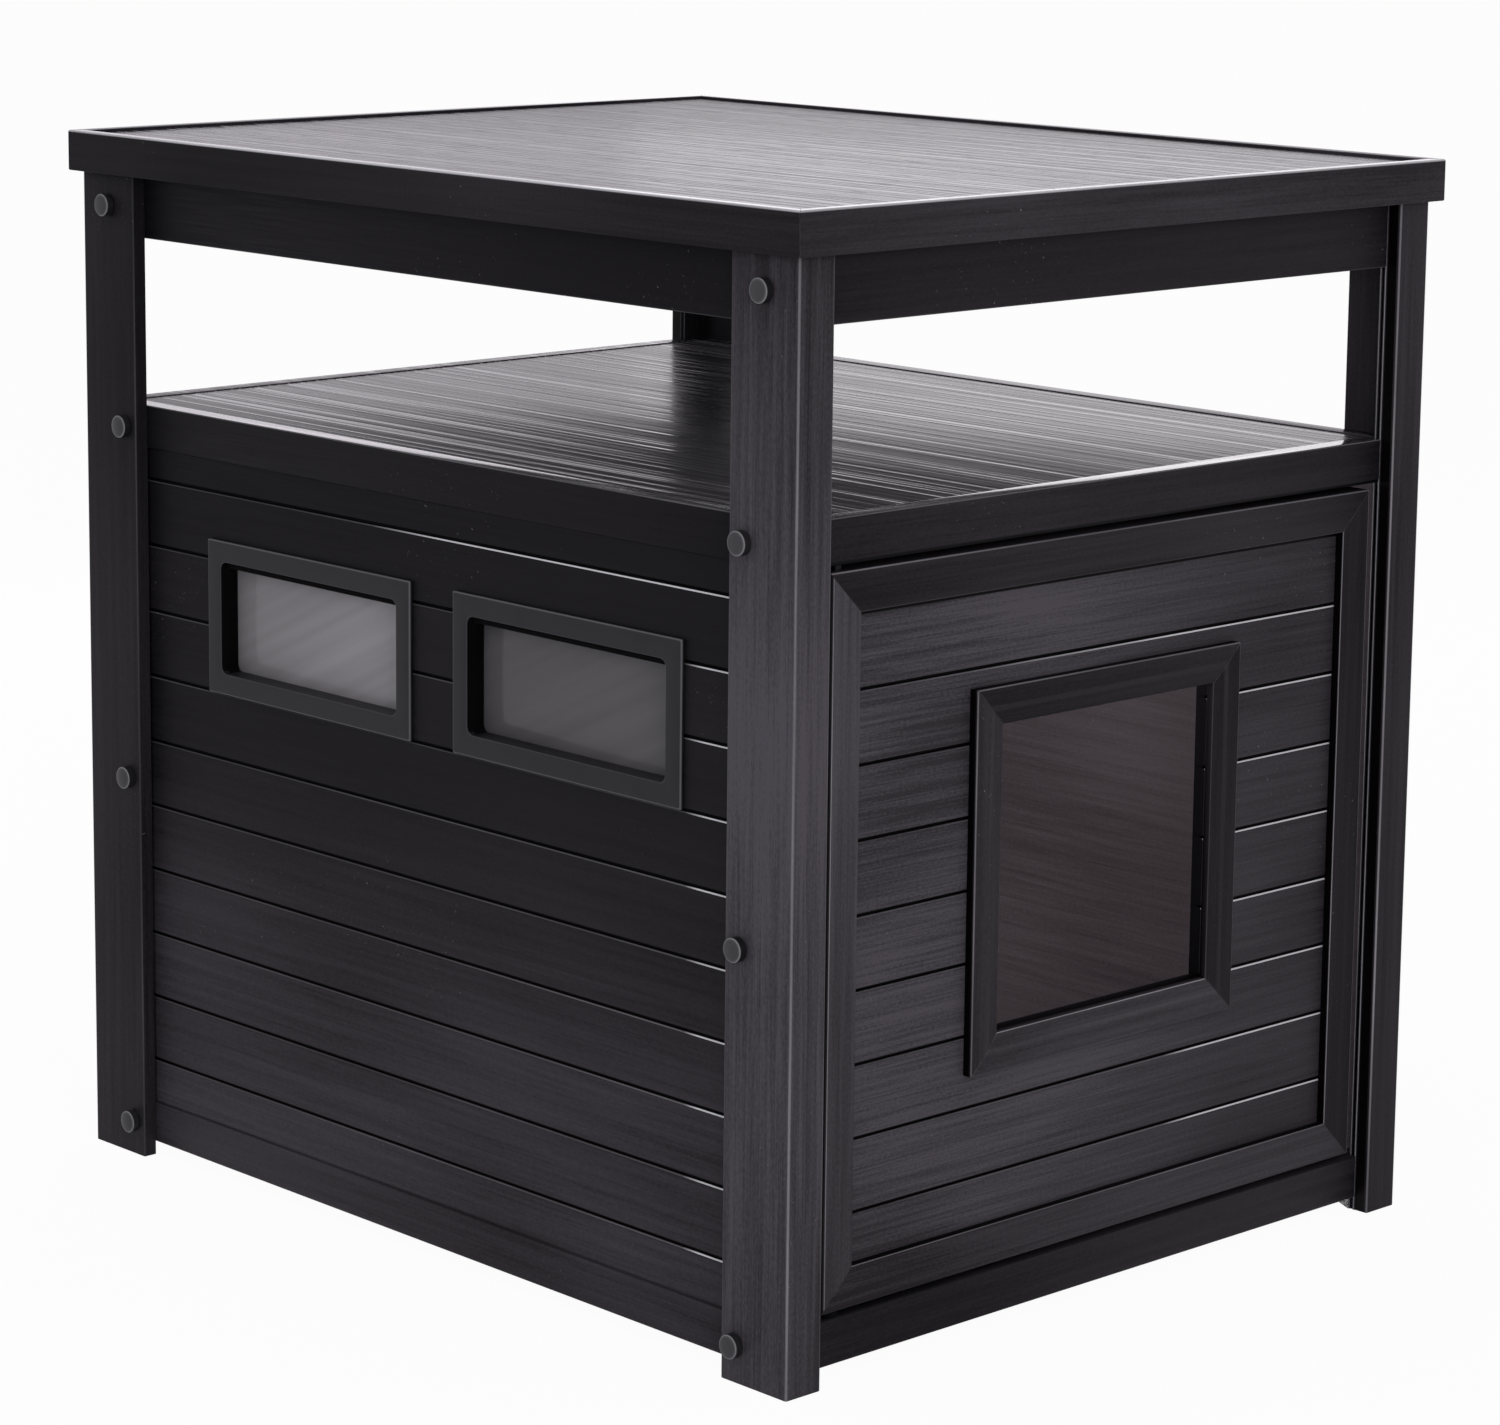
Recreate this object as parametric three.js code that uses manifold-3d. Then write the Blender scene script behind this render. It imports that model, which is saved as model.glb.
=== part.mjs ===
// Cat litter box cabinet: an end table on four corner posts. An open bay lies under the top, and
// below its shelf is a closed cabin for a litter tray. The front of the cabin is a door with the
// cat's entry, hung on two pins at its left edge, and the left wall has two windows.
// Millimetres. +Z is up, the door faces -Y and the windows face -X. The origin is on the floor,
// under the middle of the top.

import * as THREE from 'three';
import { mergeVertices } from 'three/addons/utils/BufferGeometryUtils.js';
import Module from 'manifold-3d';

const wasm = await Module();
wasm.setup();

// ---- Driving dimensions ----

const fit = 0.3; // clearance between pieces that touch

// The frame, over the outer faces of the posts.
const frameWidth = 522;
const frameDepth = 643;

// Heights. The cabin takes what the others leave of the whole height.
const height = 650; // from the floor to the lips of the rims
const baseRailBottom = 8.5;
const bayHeight = 103.7; // between the shelf rails and the aprons
const apronDrop = 39; // how far the aprons show below the rim

// Corner posts: an L-shaped extrusion. The wide side leg takes the bolts, and the narrow end leg
// shows at the front and the back. Two beads run down the inner edge of the end leg.
const sideLegWidth = 52;
const sideLegThickness = 9;
const endLegWidth = 26;
const endLegDepth = 14.5;
const beadWidth = 1.6;
const beadHeight = 0.8;
const beadPitch = 3.6;
const beadMargin = 0.1; // from the second bead to the back of the end leg
const postChamfer = 1;

// The top: a panel inside four mitred rims, which stand a little above it.
const rimHeight = 25;
const rimOverhang = 6.5;
const rimLipWidth = 8;
const rimLipRise = 2;
const topThickness = 12;
const rimChamfer = 1;

// Rails and aprons lie behind the outer faces of the posts.
const sideSetback = sideLegThickness + fit;
const endSetback = 9;
const railThickness = 13;
const shelfRailHeight = 26.6;
const baseRailHeight = 26.5;

// The shelf and the cabin's floor lie between the rails, on ledges inside them.
const shelfThickness = 8;
const shelfDrop = 0.5; // below the tops of the shelf rails
const shelfLedgeWidth = 16;
const floorThickness = 8;
const floorLedgeWidth = 9;
const floorLedgeHeight = 14;
const ledgeOverlap = 1; // how far each ledge is sunk into its own rail

// Plank walls: one sheet each, with V-grooves between the planks.
const wallThickness = 8;
const wallRecess = 1.5; // behind the faces of the rails
const wallFirstGroove = 19.5; // down from the top of the sheet
const wallPlank = 41.5;
const leastPlank = 12; // no groove is cut closer to the bottom of a sheet
const grooveWidth = 3;
const grooveDepth = 1.8;

// Windows in the left wall: a flanged sleeve each, with a pane behind it.
const windowWidth = 170;
const windowHeight = 69.5;
const windowRadius = 5;
const windowDrop = 48.4; // from the top of the wall to the bezels
const windowGap = 39; // between the two bezels
const windowShift = -8.5; // of the pair, along the wall
const bezelWidth = 13;
const bezelThickness = 2.5;
const sleeveWall = 2;
const sleeveReach = 2.2; // past the inner face of the wall
const paneThickness = 3;
const paneMargin = 8; // beyond the opening on each side

// The door: a mitred frame grooved for a plank sheet.
const doorSideGap = 9;
const doorGap = 3.3; // above and below
const doorSetback = 9.5;
const doorFrameWidth = 23.5;
const doorPanelThickness = 8;
const doorPanelRecess = 6;
const doorBackLip = 3.7; // of the frame, behind the sheet
const doorPanelTongue = 6; // how far the sheet reaches into the frame
const doorFirstGroove = 44.5; // down from the frame's inner edge
const doorPlank = 42.1;
const doorChamfer = 0.8;

// The cat's entry, with a mitred trim round it.
const entryWidth = 178;
const entryHeight = 178;
const entryRise = 17.25; // of the entry's middle above the door's
const trimWidth = 22;
const trimHeight = 6.5;
const trimFall = 1.5; // of the inner band
const trimChamfer = 0.8;

// The two pins that the door turns on, at its left edge.
const pinRadius = 3;
const pinEdgeDistance = 10; // from the door's edge to the axis
const pinFaceDistance = 6.5; // from the door's face to the axis
const pinDoorCover = 5.2; // between a pin's end and the groove for the sheet
const pinRailCover = 6; // between a pin's end and the far side of its rail
const washerRadius = 6;
const pinSides = 24;

// The magnetic catch under the shelf, which also stops the door.
const catchWidth = 40;
const catchInset = 55; // from the door's free edge to the middle of the catch
const catchDrop = 22; // below the shelf rail
const catchThickness = 12;
const strikeThickness = 1.5;
const strikeHeight = 18;

// Bolts through the side legs, each under a domed cap.
const boltRadius = 3;
const boltGrip = 6.7; // beyond the side leg
const capRadius = 7;
const capRim = 5.6;
const capHeight = 6.5;
const boltEdgeDistance = 11; // from the inner edge of the side leg
const midBoltLevel = 246; // of the bolts into the walls
const boltSides = 16;
const capRings = 4;

const cornerSteps = 6; // straight steps in each rounded corner

// ---- Places that follow from them ----

const halfWidth = frameWidth / 2;
const halfDepth = frameDepth / 2;
const topWidth = frameWidth + 2 * rimOverhang;
const topDepth = frameDepth + 2 * rimOverhang;

const baseRailTop = baseRailBottom + baseRailHeight;
const rimBottom = height - rimHeight;
const apronBottom = rimBottom - apronDrop;
const shelfRailTop = apronBottom - bayHeight;
const shelfRailBottom = shelfRailTop - shelfRailHeight;
const shelfTop = shelfRailTop - shelfDrop;
const shelfBottom = shelfTop - shelfThickness;
const topSurface = height - rimLipRise;
const frameTop = topSurface - topThickness - fit; // the posts and the aprons end here

const sideFace = halfWidth - sideSetback; // outer faces of the side rails
const sideRailBack = sideFace - railThickness;
const endFace = halfDepth - endSetback; // outer faces of the end rails
const endRailBack = endFace - railThickness;
const sideRun = halfDepth - endLegDepth - fit; // side rails reach this far along Y

// End rails reach this far along X, to the posts or to the backs of thick side rails.
const endRun = Math.min(halfWidth - endLegWidth - beadHeight, sideRailBack) - fit;

// The shelf and the floor reach this far, between the backs of the rails.
const panelHalfWidth = sideRailBack - fit;
const panelHalfDepth = endRailBack - fit;

const wallBottom = baseRailTop + fit;
const wallTop = shelfRailBottom - fit;
const sideWallFace = sideFace - wallRecess;
const sideWallBack = sideWallFace - wallThickness;
const rearWallFace = endFace - wallRecess;

const windowPitch = windowWidth + 2 * bezelWidth + windowGap;
const windowLevel = wallTop - windowDrop - bezelWidth - windowHeight / 2;
const bezelFace = sideWallFace + fit + bezelThickness;
const sleeveEnd = sideWallBack - sleeveReach;

const doorWidth = frameWidth - 2 * endLegWidth - 2 * doorSideGap;
const doorBottom = baseRailTop + doorGap;
const doorTop = shelfRailBottom - doorGap;
const doorHeight = doorTop - doorBottom;
const doorLevel = doorBottom + doorHeight / 2;
const doorFront = doorSetback - halfDepth; // Y of the door's face
const doorThickness = doorPanelRecess + doorPanelThickness + fit + doorBackLip;
const doorBack = doorFront + doorThickness;
const plankFront = doorFront + doorPanelRecess;
const entryLevel = doorLevel + entryRise;

const pinX = pinEdgeDistance - doorWidth / 2;
const pinY = doorFront + pinFaceDistance;
const pinReach = doorFrameWidth - doorPanelTongue - fit - pinDoorCover; // into the door
const upperPin = [doorTop - pinReach, shelfRailTop - pinRailCover];
const lowerPin = [baseRailBottom + pinRailCover, doorBottom + pinReach];

const boltReach = sideSetback + boltGrip;
const boltY = halfDepth - sideLegWidth + boltEdgeDistance;
const topBoltY = halfDepth - sideLegWidth / 2;
const apronBoltLevel = (apronBottom + rimBottom) / 2;
const shelfBoltLevel = (shelfRailBottom + shelfRailTop) / 2;
const baseBoltLevel = (baseRailBottom + baseRailTop) / 2;

// ---- Finishes ----

const composite = { color: 0x2d2b2e, roughness: 0.5, metalness: 0 };
const topSheet = { color: 0x34323a, roughness: 0.35, metalness: 0 };
const blackPlastic = { color: 0x1b1b1d, roughness: 0.45, metalness: 0 };
const smokedPane = { color: 0x4b494e, roughness: 0.1, metalness: 0 };
const steel = { color: 0x9a9a9c, roughness: 0.35, metalness: 1 };

// ---- Solids ----

function solid(geometry) {
  const bare = geometry.index ? geometry.toNonIndexed() : geometry.clone();
  bare.deleteAttribute('normal');
  bare.deleteAttribute('uv');
  const merged = mergeVertices(bare, 1e-4);
  const mesh = new wasm.Mesh({
    numProp: 3,
    vertProperties: merged.attributes.position.array,
    triVerts: new Uint32Array(merged.index.array),
  });
  return new wasm.Manifold(mesh);
}

function geometryOf(body) {
  const mesh = body.getMesh();
  const geometry = new THREE.BufferGeometry();
  geometry.setAttribute('position', new THREE.BufferAttribute(mesh.vertProperties, 3));
  geometry.setIndex(new THREE.BufferAttribute(mesh.triVerts, 1));
  return geometry;
}

function cut(geometry, cutters) {
  let body = solid(geometry);
  for (const cutter of cutters) body = body.subtract(solid(cutter));
  return geometryOf(body);
}

function joined(...geometries) {
  const [first, ...rest] = geometries.map(solid);
  return geometryOf(rest.reduce((body, next) => body.add(next), first));
}

function shapeOf(points) {
  return new THREE.Shape(points.map(([x, y]) => new THREE.Vector2(x, y)));
}

const axes = {
  x: [new THREE.Vector3(0, 1, 0), new THREE.Vector3(0, 0, 1), new THREE.Vector3(1, 0, 0)],
  y: [new THREE.Vector3(0, 0, 1), new THREE.Vector3(1, 0, 0), new THREE.Vector3(0, 1, 0)],
  z: [new THREE.Vector3(1, 0, 0), new THREE.Vector3(0, 1, 0), new THREE.Vector3(0, 0, 1)],
};

// A shape carried along an axis. It is drawn in (y, z) for x, in (z, x) for y and in (x, y) for z.
function prism(shape, axis, from, to) {
  const geometry = new THREE.ExtrudeGeometry(shape, {
    depth: to - from,
    bevelEnabled: false,
    curveSegments: cornerSteps,
  });
  geometry.translate(0, 0, from);
  return geometry.applyMatrix4(new THREE.Matrix4().makeBasis(...axes[axis]));
}

function block([x0, x1], [y0, y1], [z0, z1]) {
  const geometry = new THREE.BoxGeometry(x1 - x0, y1 - y0, z1 - z0);
  return geometry.translate((x0 + x1) / 2, (y0 + y1) / 2, (z0 + z1) / 2);
}

// A bar with both ends mitred at 45 degrees. The profile is [inward, out] from the bar's outer
// edge, and the bar's ends draw in as it goes inward. It lies along X, with inward and out
// pointing as given.
function mitredBar(profile, length, inward, out) {
  const geometry = new THREE.ExtrudeGeometry(shapeOf(profile), { depth: 1, bevelEnabled: false });
  const position = geometry.attributes.position;
  const joint = fit * Math.SQRT1_2; // half the gap of the mitre, along the bar
  for (let i = 0; i < position.count; i += 1) {
    const end = length / 2 - position.getX(i) - joint;
    position.setZ(i, position.getZ(i) > 0.5 ? end : -end);
  }
  return geometry.applyMatrix4(new THREE.Matrix4().makeBasis(inward, out, axes.z[0]));
}

function roundedRectangle(width, tall, radius) {
  const x = width / 2;
  const y = tall / 2;
  const shape = new THREE.Shape();
  shape.moveTo(x - radius, -y);
  shape.absarc(x - radius, -y + radius, radius, -Math.PI / 2, 0, false);
  shape.absarc(x - radius, y - radius, radius, 0, Math.PI / 2, false);
  shape.absarc(-x + radius, y - radius, radius, Math.PI / 2, Math.PI, false);
  shape.absarc(-x + radius, -y + radius, radius, Math.PI, 1.5 * Math.PI, false);
  return shape;
}

function withHole(shape, hole) {
  shape.holes.push(new THREE.Path(hole.getPoints(cornerSteps)));
  return shape;
}

// A cylinder between two heights, standing at (x, y).
function upright(radius, [z0, z1], x, y) {
  const geometry = new THREE.CylinderGeometry(radius, radius, z1 - z0, pinSides);
  return geometry.rotateX(Math.PI / 2).translate(x, y, (z0 + z1) / 2);
}

// ---- Scene ----

const cabinet = new THREE.Group();
const frame = new THREE.Group();
const top = new THREE.Group();
const cabin = new THREE.Group();
const door = new THREE.Group();
const fasteners = new THREE.Group();
cabinet.add(frame, top, cabin, door, fasteners);

function place(group, name, geometry, finish, [x, y, z] = [0, 0, 0], turn = {}) {
  const mesh = new THREE.Mesh(geometry, new THREE.MeshStandardMaterial(finish));
  mesh.name = name;
  mesh.position.set(x, y, z);
  mesh.rotation.set(turn.x ?? 0, turn.y ?? 0, turn.z ?? 0);
  group.add(mesh);
}

// ---- Bolts: their places come first, because posts, rails and walls are drilled for them ----

const bolts = [
  { level: 'apron', y: topBoltY, z: apronBoltLevel },
  { level: 'shelf', y: boltY, z: shelfBoltLevel },
  { level: 'middle', y: boltY, z: midBoltLevel },
  { level: 'base', y: boltY, z: baseBoltLevel },
];

const corners = [
  { corner: 'front_left', sideX: -1, sideY: -1 },
  { corner: 'front_right', sideX: 1, sideY: -1 },
  { corner: 'rear_left', sideX: -1, sideY: 1 },
  { corner: 'rear_right', sideX: 1, sideY: 1 },
];

// A bolt's hole on the side at sideX, from outside the post to just past the bolt's tip.
function boltHole(sideX, y, z) {
  const length = boltReach + 2 * fit;
  const hole = new THREE.CylinderGeometry(boltRadius + fit, boltRadius + fit, length, boltSides);
  return hole.rotateZ(Math.PI / 2).translate(sideX * (halfWidth + fit - length / 2), y, z);
}

// The holes of one level's bolts, at both ends of a side.
function holesAt(sideX, level) {
  const { y, z } = bolts.find((bolt) => bolt.level === level);
  return [-y, y].map((at) => boltHole(sideX, at, z));
}

// Lathed about the bolt's axis: a domed cap outside the post and a shank through it.
function boltGeometry() {
  const dome = Array.from({ length: capRings + 1 }, (_, i) => {
    const angle = (i / capRings) * (Math.PI / 2);
    const rise = (capHeight - capRim) * Math.cos(angle);
    return new THREE.Vector2(capRadius * Math.sin(angle), capRim + rise);
  });
  const profile = [
    new THREE.Vector2(0, -boltReach),
    new THREE.Vector2(boltRadius, -boltReach),
    new THREE.Vector2(boltRadius, fit),
    new THREE.Vector2(capRadius, fit),
    ...dome.reverse(),
  ];
  return new THREE.LatheGeometry(profile, boltSides);
}

for (const { corner, sideX, sideY } of corners) {
  for (const { level, y, z } of bolts) {
    const at = [sideX * halfWidth, sideY * y, z];
    const turn = { z: (-sideX * Math.PI) / 2 };
    place(fasteners, `bolt_${level}_${corner}`, boltGeometry(), blackPlastic, at, turn);
  }
}

// ---- Posts ----

// The post's section from its outer corner: across is along X and along is along Y, both inward.
function postSection(sideX, sideY) {
  const inner = endLegWidth;
  const secondBead = endLegDepth - beadMargin - beadWidth;
  const beads = [secondBead - beadPitch, secondBead].flatMap((inset) => [
    [inner, inset],
    [inner + beadHeight, inset + beadWidth / 4],
    [inner + beadHeight, inset + (beadWidth * 3) / 4],
    [inner, inset + beadWidth],
  ]);
  const section = [
    [postChamfer, 0],
    [inner - postChamfer, 0],
    [inner, postChamfer],
    ...beads,
    [inner, endLegDepth],
    [sideLegThickness, endLegDepth],
    [sideLegThickness, sideLegWidth],
    [postChamfer, sideLegWidth],
    [0, sideLegWidth - postChamfer],
    [0, postChamfer],
  ];
  const inPlan = ([across, along]) => [
    sideX * (halfWidth - across),
    sideY * (halfDepth - along),
  ];
  return shapeOf(section.map(inPlan));
}

for (const { corner, sideX, sideY } of corners) {
  const holes = bolts.map(({ y, z }) => boltHole(sideX, sideY * y, z));
  const post = cut(prism(postSection(sideX, sideY), 'z', 0, frameTop), holes);
  place(frame, `post_${corner}`, post, composite);
}

// ---- Rails, aprons and shelf ----

// Two distances from the middle, on one side of it, in ascending order.
function span(side, near, far) {
  return side < 0 ? [-far, -near] : [near, far];
}

// A side rail between two heights, with the holes of one level's bolts.
function sideRail(sideX, heights, level) {
  const rail = block(span(sideX, sideRailBack, sideFace), [-sideRun, sideRun], heights);
  return cut(rail, holesAt(sideX, level));
}

function endRail(sideY, heights) {
  return block([-endRun, endRun], span(sideY, endRailBack, endFace), heights);
}

const apronHeights = [apronBottom, frameTop];
const shelfRailHeights = [shelfRailBottom, shelfRailTop];
const baseRailHeights = [baseRailBottom, baseRailTop];
const shelfLedge = { width: shelfLedgeWidth, heights: [shelfRailBottom, shelfBottom - fit] };
const floorLedge = {
  width: floorLedgeWidth,
  heights: [baseRailBottom, baseRailBottom + floorLedgeHeight],
};

// A side ledge lies between the end ledges.
function sideLedge(sideX, { width, heights }) {
  const across = span(sideX, sideRailBack - width, sideRailBack + ledgeOverlap);
  const run = endRailBack - width - fit;
  return block(across, [-run, run], heights);
}

function endLedge(sideY, { width, heights }) {
  const along = span(sideY, endRailBack - width, endRailBack + ledgeOverlap);
  return block([-endRun, endRun], along, heights);
}

for (const [side, sideX] of [['left', -1], ['right', 1]]) {
  place(frame, `apron_${side}`, sideRail(sideX, apronHeights, 'apron'), composite);
  const upper = joined(sideRail(sideX, shelfRailHeights, 'shelf'), sideLedge(sideX, shelfLedge));
  place(frame, `shelf_rail_${side}`, upper, composite);
  const lower = joined(sideRail(sideX, baseRailHeights, 'base'), sideLedge(sideX, floorLedge));
  place(frame, `base_rail_${side}`, lower, composite);
}

// The front rails hold the door's pins.
const pinHoles = [upperPin, lowerPin].map(([z0, z1]) => (
  upright(pinRadius + fit, [z0 - fit, z1 + fit], pinX, pinY)
));

function drilledForPins(geometry) {
  return cut(geometry, pinHoles);
}

for (const [end, sideY] of [['front', -1], ['rear', 1]]) {
  place(frame, `apron_${end}`, endRail(sideY, apronHeights), composite);
  const upper = joined(endRail(sideY, shelfRailHeights), endLedge(sideY, shelfLedge));
  const lower = joined(endRail(sideY, baseRailHeights), endLedge(sideY, floorLedge));
  const [upperRail, lowerRail] = end === 'front' ? [upper, lower].map(drilledForPins) : [upper, lower];
  place(frame, `shelf_rail_${end}`, upperRail, composite);
  place(frame, `base_rail_${end}`, lowerRail, composite);
}

// A panel between the rails, at two heights.
function innerPanel(heights) {
  return block(
    [-panelHalfWidth, panelHalfWidth],
    [-panelHalfDepth, panelHalfDepth],
    heights,
  );
}

place(frame, 'shelf_panel', innerPanel([shelfBottom, shelfTop]), topSheet);

// ---- Top ----

const topInset = rimLipWidth + fit;
place(
  top,
  'top_panel',
  block(
    [topInset - topWidth / 2, topWidth / 2 - topInset],
    [topInset - topDepth / 2, topDepth / 2 - topInset],
    [topSurface - topThickness, topSurface],
  ),
  topSheet,
);

// The rim hangs in front of the posts and turns in over them beside the panel.
const skirt = rimOverhang - fit;
const rimProfile = [
  [0, -rimHeight],
  [skirt, -rimHeight],
  [skirt, -rimLipRise - topThickness],
  [rimLipWidth, -rimLipRise - topThickness],
  [rimLipWidth, -rimChamfer],
  [rimLipWidth - rimChamfer, 0],
  [rimChamfer, 0],
  [0, -rimChamfer],
];
const rimSides = [
  { side: 'front', length: topWidth, at: [0, -topDepth / 2], turn: 0 },
  { side: 'left', length: topDepth, at: [-topWidth / 2, 0], turn: -Math.PI / 2 },
  { side: 'rear', length: topWidth, at: [0, topDepth / 2], turn: Math.PI },
  { side: 'right', length: topDepth, at: [topWidth / 2, 0], turn: Math.PI / 2 },
];
for (const { side, length, at, turn } of rimSides) {
  const rim = mitredBar(rimProfile, length, axes.z[1], axes.z[2]);
  place(top, `top_rim_${side}`, rim, composite, [...at, height], { z: turn });
}

// ---- Walls, windows and floor ----

// The section of a plank sheet, as [z, out]: V-grooves down its outer face, starting at first.
function plankSection([z0, z1], thickness, first, plank, sideOut) {
  const face = [[z1, 0]];
  for (let z = z1 - first; z > z0 + leastPlank; z -= plank) {
    face.push([z + grooveWidth / 2, 0], [z, -grooveDepth], [z - grooveWidth / 2, 0]);
  }
  face.push([z0, 0], [z0, -thickness], [z1, -thickness]);
  return face.map(([z, out]) => [z, sideOut * out]);
}

// A side wall, carried along Y, with the holes of the middle bolts.
function sideWall(sideX) {
  const heights = [wallBottom, wallTop];
  const section = plankSection(heights, wallThickness, wallFirstGroove, wallPlank, sideX);
  const sheet = prism(shapeOf(section), 'y', -sideRun, sideRun);
  return cut(sheet.translate(sideX * sideWallFace, 0, 0), holesAt(sideX, 'middle'));
}

const windows = [
  { end: 'front', y: windowShift - windowPitch / 2 },
  { end: 'rear', y: windowShift + windowPitch / 2 },
];
const sleeveSize = [windowWidth + 2 * sleeveWall, windowHeight + 2 * sleeveWall];

// Window shapes are drawn in (y, z), so they are carried along X.
function windowPrism(shape, y, outer, inner) {
  return prism(shape, 'x', -outer, -inner).translate(0, y, windowLevel);
}

function windowOpening() {
  return roundedRectangle(windowWidth, windowHeight, windowRadius);
}

function windowCutter(y) {
  const [wide, tall] = sleeveSize.map((size) => size + 2 * fit);
  const outline = roundedRectangle(wide, tall, windowRadius + sleeveWall + fit);
  return windowPrism(outline, y, sideWallFace + fit, sideWallBack - fit);
}

function bezel(y) {
  const wide = windowWidth / 2 + bezelWidth;
  const tall = windowHeight / 2 + bezelWidth;
  const edge = shapeOf([[-wide, -tall], [wide, -tall], [wide, tall], [-wide, tall]]);
  const flange = withHole(edge, windowOpening());
  const tube = withHole(
    roundedRectangle(...sleeveSize, windowRadius + sleeveWall),
    windowOpening(),
  );
  return joined(
    windowPrism(flange, y, bezelFace, bezelFace - bezelThickness),
    windowPrism(tube, y, bezelFace, sleeveEnd),
  );
}

function pane(y) {
  const wide = windowWidth / 2 + paneMargin;
  const tall = windowHeight / 2 + paneMargin;
  const face = sleeveEnd - fit;
  return block(
    [-face, paneThickness - face],
    [y - wide, y + wide],
    [windowLevel - tall, windowLevel + tall],
  );
}

const leftWall = cut(sideWall(-1), windows.map(({ y }) => windowCutter(y)));
place(cabin, 'wall_left', leftWall, composite);
place(cabin, 'wall_right', sideWall(1), composite);
for (const { end, y } of windows) {
  place(cabin, `window_bezel_${end}`, bezel(y), blackPlastic);
  place(cabin, `window_pane_${end}`, pane(y), smokedPane);
}

// The rear wall is the same sheet, carried along X, so its section is turned to (y, z).
const rearSection = plankSection([wallBottom, wallTop], wallThickness, wallFirstGroove, wallPlank, 1);
const rearShape = shapeOf(rearSection.map(([z, out]) => [rearWallFace + out, z]));
place(cabin, 'wall_rear', prism(rearShape, 'x', -endRun, endRun), composite);

const floorBottom = baseRailBottom + floorLedgeHeight + fit;
const floor = innerPanel([floorBottom, floorBottom + floorThickness]);
place(cabin, 'floor_panel', floor, composite);

// ---- Door ----

// Where each member of a mitred ring in the door's plane goes, and how it is turned about Y.
function ringSides(width, tall, middle, y) {
  return [
    { side: 'bottom', length: width, at: [0, y, middle - tall / 2], turn: 0 },
    { side: 'left', length: tall, at: [-width / 2, y, middle], turn: Math.PI / 2 },
    { side: 'top', length: width, at: [0, y, middle + tall / 2], turn: Math.PI },
    { side: 'right', length: tall, at: [width / 2, y, middle], turn: -Math.PI / 2 },
  ];
}

const towardFront = new THREE.Vector3(0, -1, 0);
const slotOuter = doorThickness - doorPanelRecess + fit;
const slotBottom = doorFrameWidth - doorPanelTongue - fit;
const memberProfile = [
  [0, 0],
  [doorFrameWidth, 0],
  [doorFrameWidth, doorBackLip],
  [slotBottom, doorBackLip],
  [slotBottom, slotOuter],
  [doorFrameWidth, slotOuter],
  [doorFrameWidth, doorThickness - doorChamfer],
  [doorFrameWidth - doorChamfer, doorThickness],
  [doorChamfer, doorThickness],
  [0, doorThickness - doorChamfer],
];

const memberNames = {
  bottom: 'door_rail_bottom',
  left: 'door_stile_left',
  top: 'door_rail_top',
  right: 'door_stile_right',
};
// The pins run into the left-hand corners of the frame, across the mitres.
for (const { side, length, at, turn } of ringSides(doorWidth, doorHeight, doorLevel, doorBack)) {
  const bar = mitredBar(memberProfile, length, axes.z[2], towardFront);
  const member = bar.rotateY(turn).translate(...at);
  const drilled = side === 'right' ? member : drilledForPins(member);
  place(door, memberNames[side], drilled, composite);
}

// The sheet's first groove is counted from the frame's inner edge, so the tongue is added.
const tongueEdge = doorFrameWidth - doorPanelTongue;
const panelX = doorWidth / 2 - tongueEdge;
const panelHeights = [doorBottom + tongueEdge, doorTop - tongueEdge];
const doorSection = plankSection(
  panelHeights,
  doorPanelThickness,
  doorFirstGroove + doorPanelTongue,
  doorPlank,
  -1,
);
const doorShape = shapeOf(doorSection.map(([z, out]) => [plankFront + out, z]));
const entry = block(
  [-entryWidth / 2, entryWidth / 2],
  [plankFront - fit, plankFront + doorPanelThickness + fit],
  [entryLevel - entryHeight / 2, entryLevel + entryHeight / 2],
);
place(door, 'door_panel', cut(prism(doorShape, 'x', -panelX, panelX), [entry]), composite);

// The trim stands on the planks: a flat outer band and an inner band that falls inward.
const trimProfile = [
  [0, fit],
  [trimWidth, fit],
  [trimWidth, trimHeight - trimFall],
  [trimWidth / 2, trimHeight],
  [trimChamfer, trimHeight],
  [0, trimHeight - trimChamfer],
];
const trimWide = entryWidth + 2 * trimWidth;
const trimTall = entryHeight + 2 * trimWidth;
for (const { side, length, at, turn } of ringSides(trimWide, trimTall, entryLevel, plankFront)) {
  const bar = mitredBar(trimProfile, length, axes.z[2], towardFront);
  place(door, `entry_trim_${side}`, bar, composite, at, { y: turn });
}

// ---- Pins, washer and catch ----

place(fasteners, 'pivot_pin_upper', upright(pinRadius, upperPin, pinX, pinY), steel);
place(fasteners, 'pivot_pin_lower', upright(pinRadius, lowerPin, pinX, pinY), steel);

// The door's weight rests on this washer, in the gap below it.
const washerSection = [
  [pinRadius + fit, fit],
  [washerRadius, fit],
  [washerRadius, doorGap - fit],
  [pinRadius + fit, doorGap - fit],
  [pinRadius + fit, fit],
];
const washerPoints = washerSection.map(([radius, z]) => new THREE.Vector2(radius, z));
const washer = new THREE.LatheGeometry(washerPoints, pinSides).rotateX(Math.PI / 2);
place(fasteners, 'pivot_washer', washer, blackPlastic, [pinX, pinY, baseRailTop]);

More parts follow.
